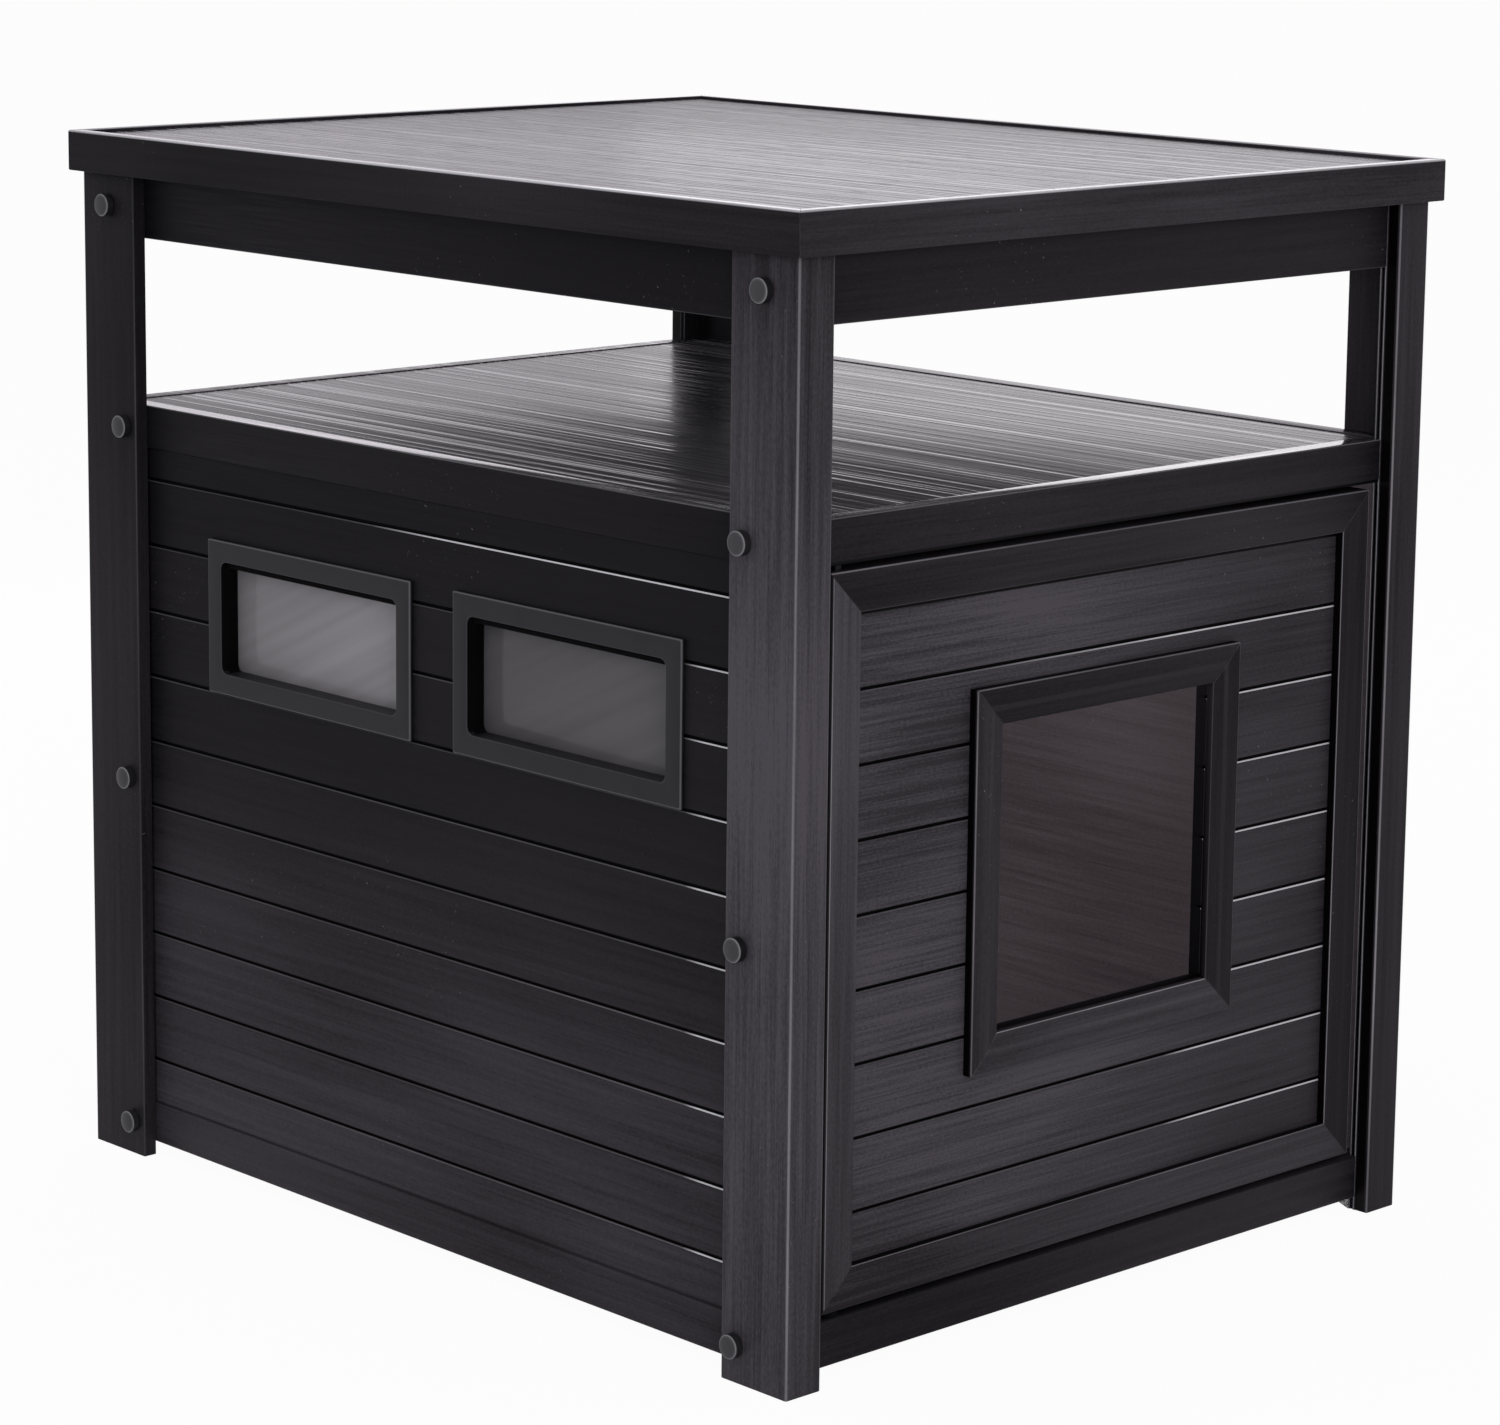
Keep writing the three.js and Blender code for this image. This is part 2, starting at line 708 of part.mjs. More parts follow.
// The catch hangs from the ledge inside the shelf rail, behind the door's top rail. The steel
// strike on the door meets it.
const catchX = doorWidth / 2 - catchInset;
const strikeFront = doorBack + fit;
const magnetFront = strikeFront + strikeThickness + fit;
const catchBack = magnetFront + catchThickness;
const catchEnds = [catchX - catchWidth / 2, catchX + catchWidth / 2];
const catchHeights = [shelfRailBottom - catchDrop, shelfRailBottom - fit];
const catchBody = block(catchEnds, [magnetFront, catchBack], catchHeights);
place(fasteners, 'catch_magnet', catchBody, blackPlastic);

const strikeTop = doorTop - fit;
const strike = block(
  catchEnds,
  [strikeFront, strikeFront + strikeThickness],
  [strikeTop - strikeHeight, strikeTop],
);
place(door, 'strike_plate', strike, steel);

export default cabinet;
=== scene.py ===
import math

import bmesh
import bpy
import numpy as np
from mathutils import Matrix


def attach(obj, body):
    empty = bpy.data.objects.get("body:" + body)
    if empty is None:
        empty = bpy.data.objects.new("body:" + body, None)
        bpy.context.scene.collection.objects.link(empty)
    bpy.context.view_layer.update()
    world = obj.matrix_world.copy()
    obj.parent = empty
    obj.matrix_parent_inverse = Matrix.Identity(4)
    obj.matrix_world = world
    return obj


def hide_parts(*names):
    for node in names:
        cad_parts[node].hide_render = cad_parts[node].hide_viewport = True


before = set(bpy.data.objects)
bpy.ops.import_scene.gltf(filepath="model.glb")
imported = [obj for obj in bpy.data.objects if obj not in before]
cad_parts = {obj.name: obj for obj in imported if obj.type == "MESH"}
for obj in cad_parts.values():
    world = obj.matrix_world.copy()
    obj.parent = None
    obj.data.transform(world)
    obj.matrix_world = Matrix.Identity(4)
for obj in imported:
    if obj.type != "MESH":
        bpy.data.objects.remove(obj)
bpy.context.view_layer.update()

print("frame loaded")

# The cat litter box cabinet: an end table with a shelf bay over a closed litter cabin.
# Sizes in the dictionaries are millimetres in the part's own frame: the door faces -Y and the
# windows face -X. makePiece turns them to metres.

# Which way each side of the cabinet faces, and the axis along it.
sides = {"left": -1, "right": 1, "front": -1, "rear": 1}
runs = {"left": "Y", "right": "Y", "front": "X", "rear": "X"}

mergeWithin = 2e-6  # metres: points nearer than this are one


# An sRGB colour such as "1b191b" as linear values.
def hexLinear(text):
    parts = [int(text[i:i + 2], 16) / 255 for i in (0, 2, 4)]
    return [c / 12.92 if c <= 0.04045 else ((c + 0.055) / 1.055) ** 2.4 for c in parts] + [1.0]


# Adds one shader node and sets its properties. The kind is its type without ShaderNode. Its inputs
# are a dictionary, or a list in their own order, and each gets a value, a colour as text, or a link
# from a socket or from a node's first output.
def addNode(tree, kind, settings={}, inputs={}):
    node = tree.nodes.new("ShaderNode" + kind)
    for name, value in settings.items():
        setattr(node, name, value)
    for name, value in inputs.items() if isinstance(inputs, dict) else enumerate(inputs):
        if isinstance(value, bpy.types.Node):
            value = value.outputs[0]
        if isinstance(value, bpy.types.NodeSocket):
            tree.links.new(value, node.inputs[name])
        else:
            node.inputs[name].default_value = hexLinear(value) if isinstance(value, str) else value
    return node


# Rounds a section's corners. A corner p becomes (1-s)^2 a + 2s(1-s) p + s^2 b, where a and b lie
# cut away from p towards its neighbours. The wear-and-shading value is 1 where a surface is painted
# pale, as wear and a painted highlight, and -1 where it is painted black as shade: 4s(1-s) of the
# corner's value, less what that share leaves of its painted shade.
def softSection(corners, cuts, wearsAndShading, steps=3, shadeBlacks=0.0):
    p = np.array(corners, float)
    before, after = np.roll(p, 1, axis=0) - p, np.roll(p, -1, axis=0) - p
    before /= np.linalg.norm(before, axis=1, keepdims=True)
    after /= np.linalg.norm(after, axis=1, keepdims=True)
    cut = np.broadcast_to(cuts, len(p))[:, None]
    a, b = (p + before * cut)[:, None], (p + after * cut)[:, None]
    s = np.linspace(0, 1, steps + 1)[None, :, None]
    curve = (1 - s) ** 2 * a + 2 * s * (1 - s) * p[:, None] + s ** 2 * b
    rise = (4 * s * (1 - s))[..., 0]
    own = rise * np.broadcast_to(wearsAndShading, len(p))[:, None]
    black = (1 - rise) * np.broadcast_to(shadeBlacks, len(p))[:, None]
    return curve.reshape(-1, 2), (own - black).reshape(-1)


# The same for rows of (u, v, cut, wear and painted highlight, painted shade), with the pale value
# as strong as the rubbed-and-highlight share says.
def rowSection(rows, rubbedAndHighlight=1.0):
    u, v, cuts, wearsAndShading, shadeBlacks = np.array(rows, float).T
    return softSection(np.stack([u, v], 1), cuts, wearsAndShading * rubbedAndHighlight, 4, shadeBlacks)


# Quads between neighbouring rings of a closed section, and a flat face at each end.
def ringFaces(rings, count, capped=True):
    i, j = np.meshgrid(np.arange(rings - 1), np.arange(count), indexing="ij")
    k = (j + 1) % count
    quads = np.stack([i * count + j, (i + 1) * count + j, (i + 1) * count + k, i * count + k], -1)
    faces = quads.reshape(-1, 4).tolist()
    if capped:
        faces += [list(range(count)), list(range((rings - 1) * count, rings * count))]
    return faces


# A bar: point (i, j) = origin + u_ij U + v_ij V + w_ij W. The section (u, v) is carried along W
# from span[0] + slopes[0] u to span[1] + slopes[1] u. Three rings at each end are drawn in along
# the section's own normal, by up to soft, so the ends have a soft arris too.
def bar(section, wearAndShading, basis, origin, span, slopes=(0, 0), soft=0.4, endWearAndHighlight=0.1):
    along = np.roll(section, -1, axis=0) - np.roll(section, 1, axis=0)
    x, y = section[:, 0], section[:, 1]
    turn = np.sign(np.sum(x * np.roll(y, -1) - y * np.roll(x, -1)))
    normal = np.stack([along[:, 1], -along[:, 0]], 1) * turn
    normal /= np.maximum(np.linalg.norm(normal, axis=1, keepdims=True), 1e-9)
    inset = soft * np.array([0, 0.3, 1, 1, 0.3, 0])[:, None]
    drawn = soft * np.array([1, 0.3, 0, 0, 0.3, 1])[:, None, None]
    ring = section[None] - normal[None] * drawn
    u, v = ring[..., 0], ring[..., 1]
    start = span[0] + slopes[0] * u + inset
    end = span[1] + slopes[1] * u - inset
    w = np.where(np.arange(6)[:, None] < 3, start, end)
    axes = np.array(basis, float)
    points = (np.array(origin, float) + u[..., None] * axes[0] + v[..., None] * axes[1]
              + w[..., None] * axes[2])
    wearsAndShading = np.repeat(wearAndShading[None], 6, axis=0)
    wearsAndShading[[1, 4]] = np.where(wearAndShading < 0, wearAndShading, np.maximum(wearAndShading, endWearAndHighlight))
    return {"points": points.reshape(-1, 3), "faces": ringFaces(6, len(section)), "wearAndShading": wearsAndShading.reshape(-1)}


# A sheet: two skins over one grid of cells. A cell may be left out, and every edge that only
# one kept cell has gets a strip from skin to skin. Strips take finish 1 and the back finish 2.
def sheet(front, back, keep, wearAndShading):
    rows, columns = front.shape[:2]
    index = np.arange(rows * columns).reshape(rows, columns)
    quads = np.stack([index[:-1, :-1], index[1:, :-1], index[1:, 1:], index[:-1, 1:]], -1)[keep]
    total = rows * columns
    edges = np.concatenate([np.stack([quads[:, a], quads[:, (a + 1) % 4]], 1) for a in range(4)])
    lone = edges[~np.isin(edges[:, 0] * total + edges[:, 1], edges[:, 1] * total + edges[:, 0])]
    strips = np.stack([lone[:, 1], lone[:, 0], lone[:, 0] + total, lone[:, 1] + total], 1)
    points = np.concatenate([front.reshape(-1, 3), back.reshape(-1, 3)])
    faces = np.concatenate([quads, quads[:, ::-1] + total, strips])
    finishes = np.repeat([0, 2, 1], [len(quads), len(quads), len(strips)])
    wearsAndShading = np.concatenate([wearAndShading.reshape(-1), np.zeros(total)])
    return {"points": points, "faces": faces.tolist(), "wearAndShading": wearsAndShading, "finishes": finishes}


# A turned form: point (i, j) = at + r_j cos(a_i) U + r_j sin(a_i) V + h_j W.
def turned(profile, wearAndShading, basis, at, steps):
    r, h = np.array(profile, float).T
    a = np.arange(steps) * 2 * math.pi / steps
    axes = np.array(basis, float)
    points = (np.array(at, float) + (r[:, None] * np.cos(a))[..., None] * axes[0]
              + (r[:, None] * np.sin(a))[..., None] * axes[1] + h[:, None, None] * axes[2])
    wearsAndShading = np.repeat(np.array(wearAndShading, float), steps)
    return {"points": points.reshape(-1, 3), "faces": ringFaces(len(r), steps), "wearAndShading": wearsAndShading}


# A section carried round a rounded rectangle. A rectangle is half its width, half its height, its
# corner radius and how far up its middle is, and the point at (t, depth) of the section is on
# (1-t) inner + t outer.
def frameRing(section, wearAndShading, inner, outer, basis, at, steps=6):
    t, depth = section[:, 0], section[:, 1]
    wide, tall, radius, rise = [a + (b - a) * t for a, b in zip(inner, outer)]
    quarter = np.linspace(0, math.pi / 2, steps + 1)
    angle = (quarter[None] + np.arange(4)[:, None] * math.pi / 2).reshape(-1, 1)
    signX = np.repeat([1, -1, -1, 1], steps + 1)[:, None]
    signY = np.repeat([1, 1, -1, -1], steps + 1)[:, None]
    across = signX * (wide - radius) + radius * np.cos(angle)
    up = rise + signY * (tall - radius) + radius * np.sin(angle)
    axes = np.array(basis, float)
    points = (np.array(at, float) + across[..., None] * axes[0] + up[..., None] * axes[1]
              + (depth + 0 * across)[..., None] * axes[2])
    rings, count = across.shape
    closed = np.concatenate([points, points[:1]])
    faces = ringFaces(rings + 1, count, capped=False)
    wearsAndShading = np.repeat(wearAndShading[None], rings + 1, axis=0)
    return {"points": closed.reshape(-1, 3), "faces": faces, "wearAndShading": wearsAndShading.reshape(-1)}


# Finish 1 for the faces that lie in the topmost depth mm of a part, 0 for the others.
def topmost(part, high, depth=0.3):
    lowest = [min(part["points"][v][2] for v in face) for face in part["faces"]]
    return (np.array(lowest) > high - depth).astype(int)


# Makes the parts one mesh in metres, closes seams and poles, and turns each face outwards. The
# painted shade is painted light and shade: how much paler the piece is than its finish, as a
# number or as (axis, places, numbers).
def makePiece(name, parts, finishes, body="cabinet", stands=(), smooth=32, paintedShade=0.0):
    starts = np.cumsum([0] + [len(part["points"]) for part in parts])
    points = np.concatenate([part["points"] for part in parts]) / 1000
    faces = [[v + start for v in face] for part, start in zip(parts, starts) for face in part["faces"]]
    kinds = np.concatenate([part.get("finishes", np.zeros(len(part["faces"]), int)) for part in parts])
    mesh = bpy.data.meshes.new(name)
    mesh.from_pydata(points.tolist(), [], faces)
    for finish in finishes:
        mesh.materials.append(finish)
    mesh.polygons.foreach_set("material_index", np.minimum(kinds, len(finishes) - 1))
    paintedTone = np.interp(points[:, paintedShade[0]] * 1000, *paintedShade[1:]) if isinstance(paintedShade, tuple) else paintedShade
    for field, added in (("wearAndShading", 0.0), ("tone", paintedTone)):
        values = [np.broadcast_to(part.get(field, 0.0), len(part["points"])) for part in parts]
        attribute = mesh.attributes.new(field, "FLOAT", "POINT")
        attribute.data.foreach_set("value", (np.concatenate(values) + added).astype(float))
    form = bmesh.new()
    form.from_mesh(mesh)
    bmesh.ops.remove_doubles(form, verts=form.verts, dist=mergeWithin)
    bmesh.ops.recalc_face_normals(form, faces=form.faces)
    form.to_mesh(mesh)
    form.free()
    mesh.polygons.foreach_set("use_smooth", np.ones(len(mesh.polygons), bool))
    mesh.set_sharp_from_angle(angle=math.radians(smooth))
    piece = bpy.data.objects.new(name, mesh)
    bpy.context.scene.collection.objects.link(piece)
    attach(piece, body)
    if stands:
        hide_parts(*stands)


# From a perspective fitted to the cabinet's edges. The picture's centre of view is above its
# middle, which is the small shift.
photo = {"place": (-1.8968759, -2.0183249, 0.8745991), "turn": (80.135437, -0.604409, -43.255283),
         "lens": 109.0858, "sensor": 36, "shift": -0.101667, "clip": (0.05, 200)}

camera = bpy.data.objects.new("camera", bpy.data.cameras.new("camera"))
camera.location = photo["place"]
camera.rotation_euler = [math.radians(a) for a in photo["turn"]]
camera.data.lens = photo["lens"]
camera.data.sensor_width = photo["sensor"]
camera.data.shift_y = photo["shift"]
camera.data.clip_start, camera.data.clip_end = photo["clip"]
bpy.context.scene.collection.objects.link(camera)
bpy.context.scene.camera = camera

studio = {"floor": "e6e6e6", "floorLift": 0.96, "sky": 0.5, "mirrored": "f7f2f9", "half": 20.0}


# Adds to a tree a value that is 1 for what the camera, a gloss or a clear pane sees.
def seenDirectly(tree):
    path = addNode(tree, "LightPath").outputs
    first = addNode(tree, "Math", {"operation": "MAXIMUM"}, [path["Is Camera Ray"], path["Is Glossy Ray"]])
    return addNode(tree, "Math", {"operation": "MAXIMUM"}, [first, path["Is Transmission Ray"]])


# Adds the colour of the room: white where it is looked at, a little darker and more lavender where
# a gloss mirrors it.
def roomColour(tree):
    gloss = addNode(tree, "LightPath").outputs["Is Glossy Ray"]
    return addNode(tree, "Mix", {"data_type": "RGBA"}, {
        0: gloss, 6: "ffffff", 7: studio["mirrored"]}).outputs[2]


# Matt rolled paper, lifted to white where it is looked at.
paper = bpy.data.materials.new("white studio paper")
paper.use_nodes = True
tree = paper.node_tree
tree.nodes.clear()
matt = addNode(tree, "BsdfDiffuse", {}, {"Color": studio["floor"]})
lit = addNode(tree, "Emission", {}, {"Color": roomColour(tree)})
lift = addNode(tree, "Math", {"operation": "MULTIPLY"}, [seenDirectly(tree), studio["floorLift"]])
both = addNode(tree, "MixShader", {}, [lift, matt, lit])
addNode(tree, "OutputMaterial", {}, {"Surface": both})

half = studio["half"]
floorMesh = bpy.data.meshes.new("studioFloor")
floorMesh.from_pydata([(-half, -half, 0), (half, -half, 0), (half, half, 0), (-half, half, 0)], [],
                      [(0, 1, 2, 3)])
floorMesh.materials.append(paper)
studioFloor = bpy.data.objects.new("studioFloor", floorMesh)
bpy.context.scene.collection.objects.link(studioFloor)

world = bpy.data.worlds.new("studio")
bpy.context.scene.world = world
world.use_nodes = True
tree = world.node_tree
tree.nodes.clear()
strength = addNode(tree, "MapRange", {}, [seenDirectly(tree), 0, 1, studio["sky"], 1])
sky = addNode(tree, "Background", {}, {"Color": roomColour(tree), "Strength": strength})
addNode(tree, "OutputWorld", {}, {"Surface": sky})

# Soft boxes: where each stands, what it looks at, its side in metres and its power in watts.
lamps = {
    "keyFront": dict(at=(-1, -1.9, 0.9), to=(-0.1, -0.3, 0.3), side=0.8, power=10, colour="fff6fb"),
    "overhead": dict(at=(-0.2, 0.6, 3), to=(0, 0, 0.4), side=2.4, power=22, colour="ffffff"),
    "lowLeft": dict(at=(-1.5, -0.2, 0.12), to=(-0.26, 0, 0.1), side=0.7, power=2, colour="f0f4ff"),
    "backRight": dict(at=(2.4, 1.9, 0.95), to=(0, 0, 0.6), side=1.2, power=1.5, colour="ffffff"),
    "rearLow": dict(at=(1.5, 1.7, 0.25), to=(0.1, 0.1, 0.25), side=0.45, power=9, colour="ffffff"),
    "cabinFill": dict(at=(-0.05, 0, 0.39), to=(0.24, -0.1, 0.3), side=0.12, power=0.65, colour="fff2f8"),
}
for name, lamp in lamps.items():
    box = bpy.data.lights.new(name, "AREA")
    box.size = lamp["side"]
    box.energy = lamp["power"]
    box.color = hexLinear(lamp["colour"])[:3]
    holder = bpy.data.objects.new(name, box)
    reach = np.array(lamp["to"], float) - np.array(lamp["at"], float)
    back = -reach / np.linalg.norm(reach)
    right = np.cross((0, 0, 1), back)
    right /= np.linalg.norm(right)
    turn = Matrix([[right[i], np.cross(back, right)[i], back[i]] for i in range(3)])
    holder.matrix_world = Matrix.Translation(lamp["at"]) @ turn.to_4x4()
    holder.visible_camera = False
    bpy.context.scene.collection.objects.link(holder)

bpy.context.scene.view_settings.view_transform = "Standard"
print("camera, floor and light")

# In the finishes, a pattern's size is (width, length) in mm, rough is (least, most), and relief is
# a depth in mm. Most of a noise's values lie in the wide span, and the narrow one gives it edges.
wideSpan, narrowSpan = (0.3, 0.7), (0.35, 0.65)


# A material with an empty tree, and the position on the piece in metres.
def newMaterial(name):
    material = bpy.data.materials.new(name)
    material.use_nodes = True
    tree = material.node_tree
    tree.nodes.clear()
    return material, tree, addNode(tree, "TexCoord").outputs["Object"]


# Streaks: noise with its cells width mm across and length mm along one axis, which may be turned.
def streaks(tree, place, axis, width, length, detail=3.0, turn=(0, 0, 0)):
    scale = [width / 1000] * 3
    scale["XYZ".index(axis)] = length / 1000
    spread = addNode(tree, "Mapping", {"vector_type": "TEXTURE"}, {
        "Vector": place, "Rotation": turn, "Scale": scale})
    return addNode(tree, "TexNoise", {}, {"Vector": spread, "Scale": 1.0, "Detail": detail}).outputs[0]


# A ground colour with others laid over it, each by its own amount.
def layered(tree, ground, layers):
    for amount, colour in layers:
        ground = addNode(tree, "Mix", {"data_type": "RGBA"}, {0: amount, 6: ground, 7: colour}).outputs[2]
    return ground


# Wood-plastic composite: wood flour in charcoal polyethylene, extruded and then brushed. The eye
# sees a near-black satin board with fine streaks down its length, each board a little paler or
# darker than the next. Arrises are painted pale, as wear and painted highlights, and recesses are
# painted black as shade. Handling marks are short pale ticks across the grain, only in some
# patches. The streaks and the grit are added to the slow drift by their shares, and span is where
# the sum lies. The tone attribute makes it paler: a random tone for each board, with painted light
# and shade laid in by where each piece stands.
composite = {
    "dark": "0b0a0c", "light": "504d53", "wornAndHighlight": "d2d1d7", "shadeBlack": "040405", "scuff": "8d8b90",
    "fine": (1.1, 60), "coarse": (4.5, 180), "drift": (140, 280), "grit": (1.2, 2.4),
    "grainShare": 0.5, "gritShare": 0.35, "span": (0.9, 1.45), "tone": 0.25, "contrast": 0.65,
    "tick": (1.4, 2.4), "tickTurn": (0.5, 0.7, 0.4), "tickSpan": (0.74, 0.8),
    "patch": (70, 110), "patchSpan": (0.55, 0.7), "patchMost": 0.5, "leastPale": 0.45,
    "rough": (0.42, 0.6), "relief": 0.12, "reliefStrength": 0.5, "specular": 0.06,
}


def compositeMaterial(name, axis, look=composite):
    material, tree, place = newMaterial(name)
    fine = streaks(tree, place, axis, *look["fine"])
    coarse = streaks(tree, place, axis, *look["coarse"], 2.0)
    drift = streaks(tree, place, axis, *look["drift"], 1.0)
    grit = streaks(tree, place, axis, *look["grit"], 1.0)
    grain = addNode(tree, "Math", {"operation": "ADD"}, [fine, coarse])
    drifting = addNode(tree, "Math", {"operation": "MULTIPLY_ADD"}, [grain, look["grainShare"], drift])
    gritty = addNode(tree, "Math", {"operation": "MULTIPLY_ADD"}, [grit, look["gritShare"], drifting])
    spread = addNode(tree, "MapRange", {}, [
        gritty, *look["span"], 1 - look["contrast"], 1 + look["contrast"]])
    # Tone: a random tone for each board, with painted light and shade by where the piece stands.
    own = addNode(tree, "Attribute", {"attribute_name": "tone"}).outputs["Fac"]
    level = addNode(tree, "Math", {"operation": "ADD"}, [own, look["tone"]])
    grained = addNode(tree, "Math", {"operation": "MULTIPLY"}, [level, spread])
    ticks = addNode(tree, "MapRange", {}, [
        streaks(tree, place, axis, *look["tick"], 1.0, look["tickTurn"]), *look["tickSpan"], 0, 1])
    patches = addNode(tree, "MapRange", {}, [
        streaks(tree, place, axis, *look["patch"], 0.0), *look["patchSpan"], 0, look["patchMost"]])
    marks = addNode(tree, "Math", {"operation": "MULTIPLY"}, [ticks, patches])
    # Above 0 the colour goes pale, as wear and painted highlights; below 0 it goes black, as painted shade.
    wearAndShading = addNode(tree, "Attribute", {"attribute_name": "wearAndShading"}).outputs["Fac"]
    uneven = addNode(tree, "MapRange", {}, [coarse, *wideSpan, look["leastPale"], 1])
    rubbedAndHighlight = addNode(tree, "Math", {"operation": "MULTIPLY"}, [wearAndShading, uneven])
    black = addNode(tree, "MapRange", {}, [wearAndShading, 0, -1, 0, 1])
    relief = addNode(tree, "Bump", {}, {
        "Height": grain, "Strength": look["reliefStrength"], "Distance": look["relief"] / 1000})
    shader = addNode(tree, "BsdfPrincipled", {}, {
        "Base Color": layered(tree, look["dark"], [
            (grained, look["light"]), (marks, look["scuff"]),
            (rubbedAndHighlight, look["wornAndHighlight"]), (black, look["shadeBlack"])]),
        "Roughness": addNode(tree, "MapRange", {}, [fine, *wideSpan, *look["rough"]]),
        "Normal": relief, "Specular IOR Level": look["specular"]})
    addNode(tree, "OutputMaterial", {}, {"Surface": shader})
    return material


boards = {axis: compositeMaterial(f"brushed wood-plastic composite, grain along {axis}", axis)
          for axis in "XYZ"}

# The same composite in calendered sheet: glossier and a little bluer, drawn through rollers, so
# long hair lines run along Y, with short dull dashes where the rollers dragged. Seen flat it
# mirrors a pale room. The lines are polished as far as polish says, and here the tone attribute
# makes the sheet duller. The pale wear colour is painted on the ribs' crests as highlights.
sheetLook = {
    "dark": "1d1b20", "light": "3d3a41", "dash": "19171b", "wornAndHighlight": "d8d7dd",
    "line": (1.8, 500), "sharp": (0.35, 0.65), "polish": 0.0, "polishedRough": 0.05,
    "dashes": (1.6, 30), "dashSpan": (0.6, 0.7), "dashMost": 0.5, "dashRough": 0.3,
    "rough": (0.16, 0.3), "relief": 0.06, "reliefStrength": 0.5, "specular": 0.5,
}


def sheetMaterial(name, look):
    material, tree, place = newMaterial(name)
    line = streaks(tree, place, "Y", *look["line"], 2.0)
    crisp = addNode(tree, "MapRange", {}, [line, *look["sharp"], 0, 1])
    dash = addNode(tree, "MapRange", {}, [
        streaks(tree, place, "Y", *look["dashes"], 1.0), *look["dashSpan"], 0, look["dashMost"]])
    wearAndShading = addNode(tree, "Attribute", {"attribute_name": "wearAndShading"}).outputs["Fac"]
    own = addNode(tree, "Attribute", {"attribute_name": "tone"}).outputs["Fac"]
    rough = addNode(tree, "MapRange", {}, [line, *narrowSpan, *look["rough"]])
    dull = addNode(tree, "Math", {"operation": "ADD"}, [own, rough])
    dashed = addNode(tree, "Math", {"operation": "MULTIPLY_ADD"}, [dash, look["dashRough"], dull])
    polish = addNode(tree, "Math", {"operation": "MULTIPLY"}, [crisp, look["polish"]])
    drawn = addNode(tree, "Mix", {"data_type": "FLOAT"}, {0: polish, 2: dashed, 3: look["polishedRough"]})
    relief = addNode(tree, "Bump", {}, {
        "Height": line, "Strength": look["reliefStrength"], "Distance": look["relief"] / 1000})
    shader = addNode(tree, "BsdfPrincipled", {}, {
        "Base Color": layered(tree, look["dark"], [
            (crisp, look["light"]), (dash, look["dash"]), (wearAndShading, look["wornAndHighlight"])]),
        "Roughness": drawn, "Normal": relief, "Specular IOR Level": look["specular"]})
    addNode(tree, "OutputMaterial", {}, {"Surface": shader})
    return material


topFinish = sheetMaterial("calendered composite sheet", sheetLook)
# On the shelf the hair lines are painted pale, as highlights.
shelfFinish = sheetMaterial("calendered composite sheet of the shelf", dict(
    sheetLook, line=(3.2, 700), sharp=(0.55, 0.64), polish=0.8, dashMost=0.1, rough=(0.22, 0.32),
    light="8a878d"))

# The backs of the cabin's sheets are left as extruded: unbrushed, and paler, partly as painted
# light in the dim cabin.
backLook = dict(composite, dark="383436", light="6b6669", tone=0.5, specular=0.2, rough=(0.55, 0.7))
backs = {axis: compositeMaterial(f"unbrushed back of the composite, grain along {axis}", axis, backLook)
         for axis in "XY"}

# Sawn ends and edges are left raw, and painted black as the shade in their recesses.
sawnAndShaded = compositeMaterial("sawn edge of the composite", "Z", dict(
    composite, dark="060607", light="141315", wornAndHighlight="141315", scuff="141315"))

# Polypropylene, injection moulded with a spark-eroded satin texture: an even dark grey that
# shines softly on its rounded edges, which are also painted pale, as wear and highlights. The
# texture is too fine to show and is drawn 0.5 mm coarse.
moulded = {"dark": "131315", "light": "202023", "wornAndHighlight": "8d8e93", "grit": (0.5, 0.5), "cloud": (25, 25),
           "rough": (0.4, 0.55), "relief": 0.04, "reliefStrength": 0.3, "specular": 0.2}


def mouldedMaterial(name, look):
    material, tree, place = newMaterial(name)
    grit = streaks(tree, place, "X", *look["grit"], 2.0)
    cloud = streaks(tree, place, "X", *look["cloud"])
    cloudy = addNode(tree, "MapRange", {}, [cloud, *wideSpan, 0, 1])
    wearAndShading = addNode(tree, "Attribute", {"attribute_name": "wearAndShading"}).outputs["Fac"]
    relief = addNode(tree, "Bump", {}, {
        "Height": grit, "Strength": look["reliefStrength"], "Distance": look["relief"] / 1000})
    shader = addNode(tree, "BsdfPrincipled", {}, {
        "Base Color": layered(tree, look["dark"], [(cloudy, look["light"]), (wearAndShading, look["wornAndHighlight"])]),
        "Roughness": addNode(tree, "MapRange", {}, [cloud, *wideSpan, *look["rough"]]),
        "Normal": relief, "Specular IOR Level": look["specular"]})
    addNode(tree, "OutputMaterial", {}, {"Surface": shader})
    return material


blackPlastic = mouldedMaterial("satin moulded polypropylene", moulded)
# EPDM rubber, extruded and left matt: black with hardly any shine.
rubber = mouldedMaterial("matt extruded rubber", dict(
    moulded, dark="060607", light="0c0c0d", rough=(0.7, 0.8), specular=0.03))

# Smoked acrylic, cast in sheet: a hazy grey pane that lets a little light through, smooth, with
# broad slanting bands. The tone attribute is how pale it is: its haze, with painted light from the
# lit cabin behind it.
smoked = {"dark": "1f1d20", "light": "e0dde2", "slantBand": (10, 300), "slant": -0.44, "slantBanded": (0.9, 1.1),
          "clear": 0.2, "ior": 1.49, "rough": 0.1, "specular": 0.06}


